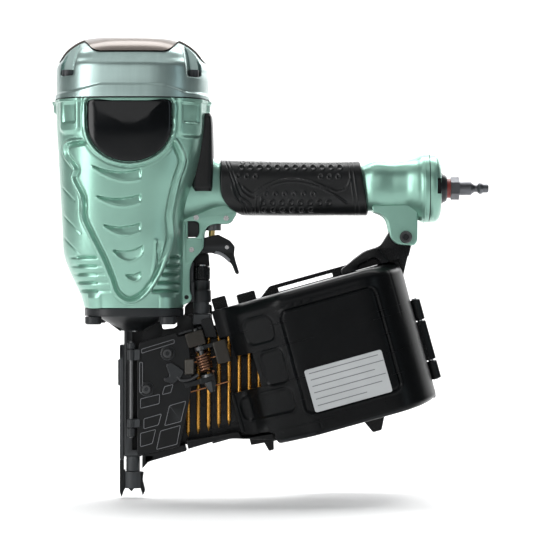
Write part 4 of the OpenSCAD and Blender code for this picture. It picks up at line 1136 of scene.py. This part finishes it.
def build_nose():
    kit = Kit(BLACK_METAL)
    t = circle(120)
    flange = [(119.1, 36.4, 37.2), (119.1, 36.9, 37.7), (119.8, 37.5, 38.3), (124.6, 37.5, 38.3),
              (125.3, 36.9, 37.7), (125.5, 36, 36.8)]
    rings = np.array([ring_at(z, t, a, b, 3, 0.95) for z, a, b in flange])
    kit.keep(capped_grid("nose_flange", rings, BLACK_METAL, "frame", sharp=40))
    funnel = [(119.6, 28, 2.2), (118, 26, 2.3), (113, 17.5, 2.6), (109.6, 10.8, 3.2), (107.8, 9, 4)]
    rings = np.array([ring_at(z, t, r, r, e) for z, r, e in funnel])
    kit.keep(capped_grid("nose_funnel", rings, BLACK_METAL, "frame", sharp=30))
    for sx in (-1, 1):
        for sy in (-1, 1):
            gusset = rounded([(4 * sx, 119.5), (26 * sx, 119.5), (9 * sx, 107)], 1.2)
            kit.plate("gusset", gusset, 6 * sy - 1, 6 * sy + 1, 0.4)
    kit.keep(nose_column())
    kit.turned("nose_spout", [(0.9, 4.3), (0.9, 5.3), (14, 5.3), (14, 4.3)], (0, 0, 0), hollow=True)
    heel = [(5, 13), (9.2, 12.4), (9.2, 6.6), (13.4, 8.4), (41.3, 16.4), (39.6, 21.2), (6, 13.6)]
    kit.plate("nose_heel", rounded(heel, 1), -6.2, 7.4, 0.6)
    kit.keep(nose_wall())
    for z0, z1 in ((94.2, 98.8), (27.4, 34)):
        kit.barrel("knuckle", z0, z1, 3.1, 0.5, DOOR_PIN, 32)
        kit.box("knuckle_root", (-3.9, 2.3), (-9.6, -6.2), (z0, z1), 0.5, False)
    cheek = [(7.2, 13), (7.2, 3), (8.5, 4), (12.5, 8.6), (16, 10), (16, 13)]
    for y in (-6.2, 3.6):
        kit.plate("heel_cheek", rounded(cheek, 0.8), y, y + 2.6)
    guard = [(33, 119.3), (33, 108), (46, 104), (60, 108), (60, 127), (52, 129.5), (44, 131), (39, 126),
             (38.8, 119.3)]
    kit.plate("link_guard", rounded(guard, 1.5), 11.4, 13.4)
    throat = [(80.6, 84), (89.6, 82), (89.6, 98), (80.6, 98)]
    kit.plate("throat_plate", rounded(throat, 1.5), -8, -6, tilted=True)
    keeper = kit.box("latch_keeper", (62, 80), (-12, 7.2), (91.4, 93.2), 0.4)
    combine(keeper, [cut_box((72.4, 77.6), (-14, -6.8), (90, 95))])
    kit.join("nose_casting", "black_metal", "nose_body")


def build_nose_bolts():
    """Socket heads whose axes are z."""
    kit = Kit(BLACK_METAL)
    r, h = 6.3, 6
    profile = [(0, r - 0.5), (0.4, r), (h - 0.9, r), (h, r - 0.9), (h, r * 0.55), (h * 0.5, r * 0.52),
               (h * 0.5, r * 0.3)]
    for x in (-28.5, 27.6):
        for y in (-26, 26):
            kit.turned("nose_bolt", profile, (x, y, 119), (0, 0, -1), 40)
    kit.join("nose_bolt_heads", "black_metal", "nose_bolts")


DOOR = rounded([(3.6, 13), (35.9, 19.8), (43.7, 56.5), (45.4, 72), (42.2, 105.4), (34.5, 103.2),
                (33.4, 106.8), (5.2, 98.9), (3.6, 84)], 2)
PADS = [[(6.2, 56.2), (20.8, 59.7), (20.4, 52.6), (6.2, 49)],
        [(8.8, 41), (22.1, 44.8), (19.8, 36.4), (8.8, 33.4)],
        [(28.2, 51), (40.6, 54.6), (36.8, 39), (24.6, 35.8)],
        [(6.2, 30), (17.8, 33), (15.2, 22.4), (6.2, 19.8)],
        [(21.4, 31.8), (36.5, 36.1), (33.8, 21.8), (18.4, 17.8)],
        [(7, 93.8), (31.6, 101.4), (32, 98.6), (7, 90.8)],
        [(5.6, 84), (7.8, 84), (7.8, 61), (5.6, 61)],
        [(24.4, 65.4), (31, 67.2), (29.2, 61), (22.8, 59.4)]]
LEVER = [(25.4, 82.6), (29.6, 84.2), (35.2, 80.8), (39.4, 77.4), (37.4, 72.6), (31.4, 67.2), (24.4, 69.4),
         (23.6, 72), (28.4, 73.4), (26.8, 77.6)]
HOOK = [(34, 73), (37.5, 70.2), (42, 70.4), (46, 71.8), (50, 74.5)]
DOOR_SCREWS = [(26.8, 90.8), (10.8, 63.6)]
LATCH_ROD = (75, -9.4, 0)          # in the magazine's frame


def build_door():
    door = plate("nail_guide_plate", DOOR, -9.8, -6.8, BLACK_METAL, "door", 0.6, segments=3)
    kit = Kit(BLACK_METAL, "door")
    for k, pad in enumerate(PADS):
        kit.plate("door_pad_%d" % k, rounded(pad, 0.9), -11.0, -9.3, 0.45, segments=3)
        # The thin grey rims along each pad's outline are painted highlights, standing for the pad edges that
        # catch the light.
        rim = [(x, -11.02, z) for x, z in rounded(pad, 0.9, 4)]
        kit.keep(tube("door_pad_rim_%d" % k, rim + rim[:2], 0.24, GREY_AND_HIGHLIGHT, "door", 6))
    kit.keep(plate("door_lever", rounded(LEVER, 1.4), -12.2, -9.3, DARK_STEEL, "door", 0.9, segments=3))
    kit.keep(tube("door_hook", [(x, -11.2, z) for x, z in spline(HOOK, 8)], 1.2, DARK_STEEL, "door"))
    profile = [(0, 5.6), (1.2, 5.4), (1.6, 4.8), (1.6, 3.6)]
    for x, z in DOOR_SCREWS:
        kit.turned("screw_boss", profile, (x, -9.6, z), (0, -1, 0), 40)
    for z0, z1 in ((34.4, 41), (85.4, 93.9)):
        kit.barrel("door_knuckle", z0, z1, 3.1, 0.5, DOOR_PIN, 32)
        kit.box("door_root", (-0.4, 6), (-11.8, -7), (z0, z1), 0.6, False)
    kit.keep(box_piece("latch_lug", (66.4, 80.4), (-13.6, -7.2), (79.6, 91), BROWN_BLACK, "door", 1))
    kit.box("latch_seat", (68, 80), (-12.6, -7.2), (50.5, 55.5), 1)
    kit.keep(turned("latch_collar", [(55, 5), (57, 4.6), (57.2, 3)], LATCH_ROD, UP, DARK_STEEL, "door", 32,
                    tilted=True))
    kit.turned("latch_cone", [(43, 2.2), (49, 4.6), (51, 4.9)], LATCH_ROD, UP, 6, tilted=True)
    kit.keep(box_piece("latch_pocket", (39.5, 47), (-11.4, -8), (74.5, 86.5), BROWN_BLACK, "door", 1, False))
    kit.box("latch_neck", (56, 70), (-10.6, -8), (51, 55), 0.8)
    kit.keep_apart("black_metal")
    stand_for(door, "black_metal", "nail_guide_door")
    screws = Kit(DARK_STEEL, "door")
    profile = [(-3, 2), (2.9, 2), (2.9, 3.0), (3.2, 3.4), (4.6, 3.4), (5.1, 2.9), (5.1, 1.7), (3.6, 1.6),
               (3.6, 0.8)]
    for x, z in DOOR_SCREWS:
        screws.turned("door_screw", profile, (x, -9.6, z), (0, -1, 0), 36)
    screws.join("door_screw_heads", "black_metal", "door_screws")


def build_latch():
    kit = Kit(DARK_STEEL, "door_latch")
    kit.turned("latch_rod", [(62.8, 2), (92.2, 2), (93, 1.4)], LATCH_ROD, UP, 28, tilted=True)
    kit.turned("latch_flange", [(75.6, 4), (76, 4.4), (78.6, 4.4), (79, 4)], LATCH_ROD, UP, 32, tilted=True)
    kit.keep(box_piece("latch_bridge", (75, 94), (-13, -9.8), (76, 79), BLACK_METAL, "door_latch", 0.8))
    thumb = box_piece("latch_thumb", (84.6, 95.4), (-14.6, -9.6), (61.8, 79.2), BROWN_BLACK, "door_latch",
                      1.3)
    kit.join("latch_slider", "black_metal", "door_latch")
    stand_for(thumb, "black_metal")
    path = helix(4.8, 57.9, 74.9, 6.4, LATCH_ROD[:2])
    coil = tube("latch_coil", path, 0.95, SPRING, "door", 12, tilted=True)
    stand_for(coil, "spring_copper", "latch_spring")
    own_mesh(coil)


# ---------------------------------------------------------------- trigger and contact arm

CHEEK = rounded([(64.9, 181), (54, 178.4), (43, 173.2), (41.6, 169.3), (43.2, 166), (59.6, 166.9),
                 (66, 165.6), (73, 161), (75.6, 157.6), (78.2, 151.4), (79.8, 150.4), (81, 151.8),
                 (78.4, 160), (77, 165.7), (77.6, 172), (74, 176.4)], 1.2)
FINGER = spline([(60.5, 167.2), (66, 166.2), (71, 163), (75.2, 158.2), (78, 151.6)], 10)


def build_trigger():
    kit = Kit(BLACK_METAL, "trigger")
    for k, y in enumerate((-7, 5)):
        cheek = kit.plate("trigger_cheek_%d" % k, CHEEK, y, y + 2, 0.7, segments=3)
        combine(cheek, [cross_hole(TRIGGER_PIN, y - 2, 2.06, 6, 32, "trigger"),
                        cross_hole((71.7, 171.2), y - 2, 1.52, 6, 32, "trigger")])
    outer = [tuple(p) for p in FINGER]
    inner = [(x + 1.4, z + 2.6) for x, z in outer[::-1]]
    kit.plate("trigger_web", outer + inner, -6.9, 6.9, 0.8, segments=3)
    kit.join("trigger_lever", "black_metal", "trigger")
    middle = outer[4:-14]
    pad = [(x - 0.3, z - 0.9) for x, z in middle] + [(x + 0.8, z + 1.4) for x, z in middle][::-1]
    insert = plate("trigger_finger_pad", pad, -7.5, 7.5, GREY_AND_HIGHLIGHT, "trigger", 0.6, segments=3)
    stand_for(insert, "black_metal")


ROD = (52, 0, 0)                   # the contact rod's axis, along z


def build_contact_arm():
    kit = Kit(BLACK_METAL, "contact_arm")
    kit.box("contact_bar", (-10, -6.62), (-5, 5), (9.8, 97), 0.7, False)
    kit.box("contact_step", (-11.4, -8), (-3.6, 3.6), (66, 86), 0.8, False)
    kit.box("contact_foot", (-10, -6.9), (-5, 11), (86, 97), 0.7, False)
    outline = [(-10, 88), (8, 88), (36, 94), (44, 104), (47, 112), (58.5, 112), (58.5, 121), (42, 121),
               (41, 112), (34, 102), (8, 97), (-10, 97)]
    kit.plate("contact_link", rounded(outline, 1.6), 8, 11, 0.6)
    kit.box("contact_block", (45.5, 59.5), (-6.6, 11), (112, 121), 1.2, False)
    profile = [(120.5, 5.45), (120.5, 6.1), (134, 6.1), (134, 5.45)]
    kit.turned("contact_sleeve", profile, ROD, UP, 40, hollow=True)
    kit.join("contact_link_arm", "black_metal", "contact_arm")


def build_contact_tip():
    kit = Kit(BLACK_METAL, "contact_arm")
    kit.turned("ring", [(-12.2, 5.6), (-12.2, 6.8), (0.4, 6.8), (0.4, 5.6)], (0, 0, 0), UP, 56, hollow=True)
    spur = [(-10, 9.8), (-10, -15), (-8.6, -19), (-6.9, -14), (-5.8, -12.4), (-5.8, 1.8), (-6.9, 1.8),
            (-6.9, 9.8)]
    kit.plate("spur", rounded(spur, 0.8), -4, 4)
    fang = [(5.9, 0.2), (8.2, 0.2), (7.4, -6), (9.4, -14), (7.5, -18), (5.8, -12.5)]
    kit.plate("fang", rounded(fang, 0.8), -3, 3)
    for y in (-6.7, 5.7):
        kit.plate("tooth", [(-3.4, -11.9), (-0.8, -14.6), (1.4, -11.9)], y, y + 1, 0.2)
    kit.join("contact_mouth", "black_metal", "contact_tip")


def build_rod_guide():
    kit = Kit(BLACK_METAL)
    kit.box("guide_web", (38.9, 46.4), (-6.4, 6.4), (131, 160), 0.8, False)
    profile = [(129.3, 6.3), (129.3, 7.0), (130, 7.5), (138.4, 7.5), (138.9, 6.9), (145.9, 6.9), (145.9, 6.3)]
    kit.turned("guide_tube", profile, ROD, UP, 56, hollow=True)
    kit.box("guide_rib", (44, 47), (-7.4, -3), (129.4, 145), 0.6, False)
    shroud = [(43.9, 130), (57.4, 130), (57.4, 140), (58.2, 158), (57.6, 166), (52, 170), (44, 166)]
    kit.plate("guide_shroud", rounded(shroud, 1), 7.6, 9.6)
    kit.box("bracket_core", (39.5, 50.5), (-4, 4), (179, 191.8), 0.6, False)
    kit.join("rod_housing", "black_metal", "rod_guide")


def build_adjuster():
    """The depth wheel: 18 hollows around its rim."""
    t = circle(144)
    rings = []
    for z, r, deep in ((146.1, 5.2, 0), (146.3, 6.0, 0), (147.2, 6.7, 0), (148.2, 6.8, 0.5), (155, 6.8, 0.5),
                       (156, 6.7, 0), (156.9, 5.9, 0), (157, 5.2, 0)):
        rr = r - deep * (0.5 + 0.5 * np.cos(18 * t)) ** 3
        rings.append(stacked(ROD[0] + rr * np.cos(t), rr * np.sin(t), z))
    wheel = capped_grid("adjuster_wheel", np.array(rings), PLASTIC, "depth_adjuster")
    stand_for(wheel, "black_plastic", "depth_adjuster")


# ---------------------------------------------------------------- springs

def build_springs():
    """A helix for each spring, from its fixed end, with its free length and the joint that shortens it."""
    drive = (0, 0, -1)
    feed_way = Matrix.Rotation(-TILT, 3, "Y") @ Vector((-1, 0, 0))
    rows = [("head_valve_spring", "head_valve_lift", (0, 0, 303.7), drive, 14.4, 30, 1.05, 3, 4.5),
            ("contact_arm_spring", "contact_arm_slide", (52, 0, 136.8), drive, 15.6, 4.6, 0.65, 5, 8),
            ("feeder_spring", "feeder_stroke", feed([85.7, 20, 52]), feed_way, 27.4, 5.4, 0.65, 6, 9)]
    for node, joint, end, way, length, radius, wire, turns, travel in rows:
        u, v = frame_from(way)
        points = helix(radius, wire, length - wire, turns)
        path = np.array(end) + points[:, :1] * u + points[:, 1:2] * v + points[:, 2:] * np.array(Vector(way))
        coil = tube(node + "_coil", path, wire, STEEL, "frame", 10)
        stand_for(coil, "steel", node)
        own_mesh(coil)


# ---------------------------------------------------------------- stage, in metres

def build_stage():
    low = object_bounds()[0][2] - 0.0008
    profile = [(-3.0, low), (1.2, low)] + [(1.2 + 0.8 * math.sin(a), low + 0.8 * (1 - math.cos(a)))
                                           for a in np.linspace(0.1, math.pi / 2, 14)] + [(2.0, 3.2)]
    verts = [(x, y, z) for y, z in profile for x in (-4, 4)]
    faces = [(2 * i, 2 * i + 1, 2 * i + 3, 2 * i + 2) for i in range(len(profile) - 1)]
    mesh = bpy.data.meshes.new("backdrop")
    mesh.from_pydata(verts, [], faces)
    mesh.polygons.foreach_set("use_smooth", [True] * len(faces))
    stage = link(bpy.data.objects.new("backdrop", mesh))
    paper = material("paper", (0.93, 0.93, 0.93), 0.8, vary=0.005, patch=3, rough_vary=0.02)
    stage.data.materials.append(paper)
    stage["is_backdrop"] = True


def area_light(name, spot, target, size, power_w, colour=(1, 1, 1)):
    data = bpy.data.lights.new(name, "AREA")
    data.shape = "RECTANGLE"
    data.size, data.size_y = size
    data.energy = power_w
    data.color = colour
    lamp = link(bpy.data.objects.new(name, data))
    lamp.location = spot
    lamp.rotation_euler = (Vector(target) - Vector(spot)).to_track_quat("-Z", "Y").to_euler()


def build_camera_and_lights():
    centre = Vector((0.1018, 0, 0.1566))
    distance = 1.864
    data = bpy.data.cameras.new("camera")
    data.sensor_width = 36
    data.lens = 165
    camera = link(bpy.data.objects.new("camera", data))
    camera.location = centre - distance * Vector(ALONG_Y)
    camera.rotation_euler = (centre - camera.location).to_track_quat("-Z", "Y").to_euler()
    bpy.context.scene.camera = camera
    area_light("key", (-1.0, -1.0, 0.5), (0.02, 0, 0.18), (0.6, 1.3), 15)
    area_light("front_box", (-0.4, -2.3, 0.8), (0.05, 0, 0.18), (1.6, 1.0), 7)
    area_light("fill", (1.3, -1.1, 0.4), (0.1, 0, 0.12), (0.25, 1.2), 1.8, (0.75, 0.92, 1))
    area_light("top", (0.0, -0.5, 1.5), (0.05, 0, 0.1), (1.4, 0.5), 2.4)
    area_light("rim", (0.5, 0.9, 0.7), (0.08, 0, 0.15), (1.2, 0.6), 6)
    area_light("backdrop_light", (0.1, 0.9, 2.6), (0.1, 1.8, 0.6), (3.0, 1.2), 100)
    world = bpy.data.worlds.new("studio")
    world.use_nodes = True
    background = world.node_tree.nodes["Background"]
    background.inputs["Color"].default_value = (0.9, 0.93, 0.95, 1)
    background.inputs["Strength"].default_value = 0.1
    bpy.context.scene.world = world
    bpy.context.scene.view_settings.view_transform = "Standard"


# ---------------------------------------------------------------- CAD nodes that keep their shape

KEPT = {
    RUBBER: ["cap_gasket", "cylinder_seals", "piston_bumper", "head_bumper", "piston_ring"],
    BLACK_METAL: ["cap_bolts"],
    DARK_STEEL: ["head_valve", "inlet_boss", "trigger_valve_body", "door_hinge_pin"],
    PLASTIC: ["feeder_cylinder", "nail_holder"],
    STEEL: ["cylinder_liner", "driver_blade", "contact_rod", "trigger_pin", "trigger_arm", "trigger_arm_pin",
            "trigger_spring", "valve_pins", "feeder_piston", "feed_pawl", "pawl_pin", "cover_hinge_pin",
            "holder_post"],
    ALLOY: ["piston"], FILTER: ["air_filter"], RED: ["plug_washer"], PLUG: ["air_plug"],
    BRASS: ["trigger_valve_plunger"], GOLD: ["nail_strip", "nail_coil"], COPPER: ["collation_wires"]}


def dress_kept():
    for mat, names in KEPT.items():
        for name in names:
            node = NODES[name]
            node.data.materials.clear()
            node.data.materials.append(mat)


for build in (build_camera_and_lights, build_stage, dress_kept, build_casting, build_badges, build_handle,
              build_grip, build_end_cap, build_cap, build_exhaust, build_brackets, build_arm_bolt,
              build_rear_pad, build_magazine_body, build_magazine_arm, build_cover, build_label, build_nose,
              build_nose_bolts, build_door, build_latch, build_trigger, build_contact_arm,
              build_contact_tip, build_rod_guide, build_adjuster, build_springs):
    build()
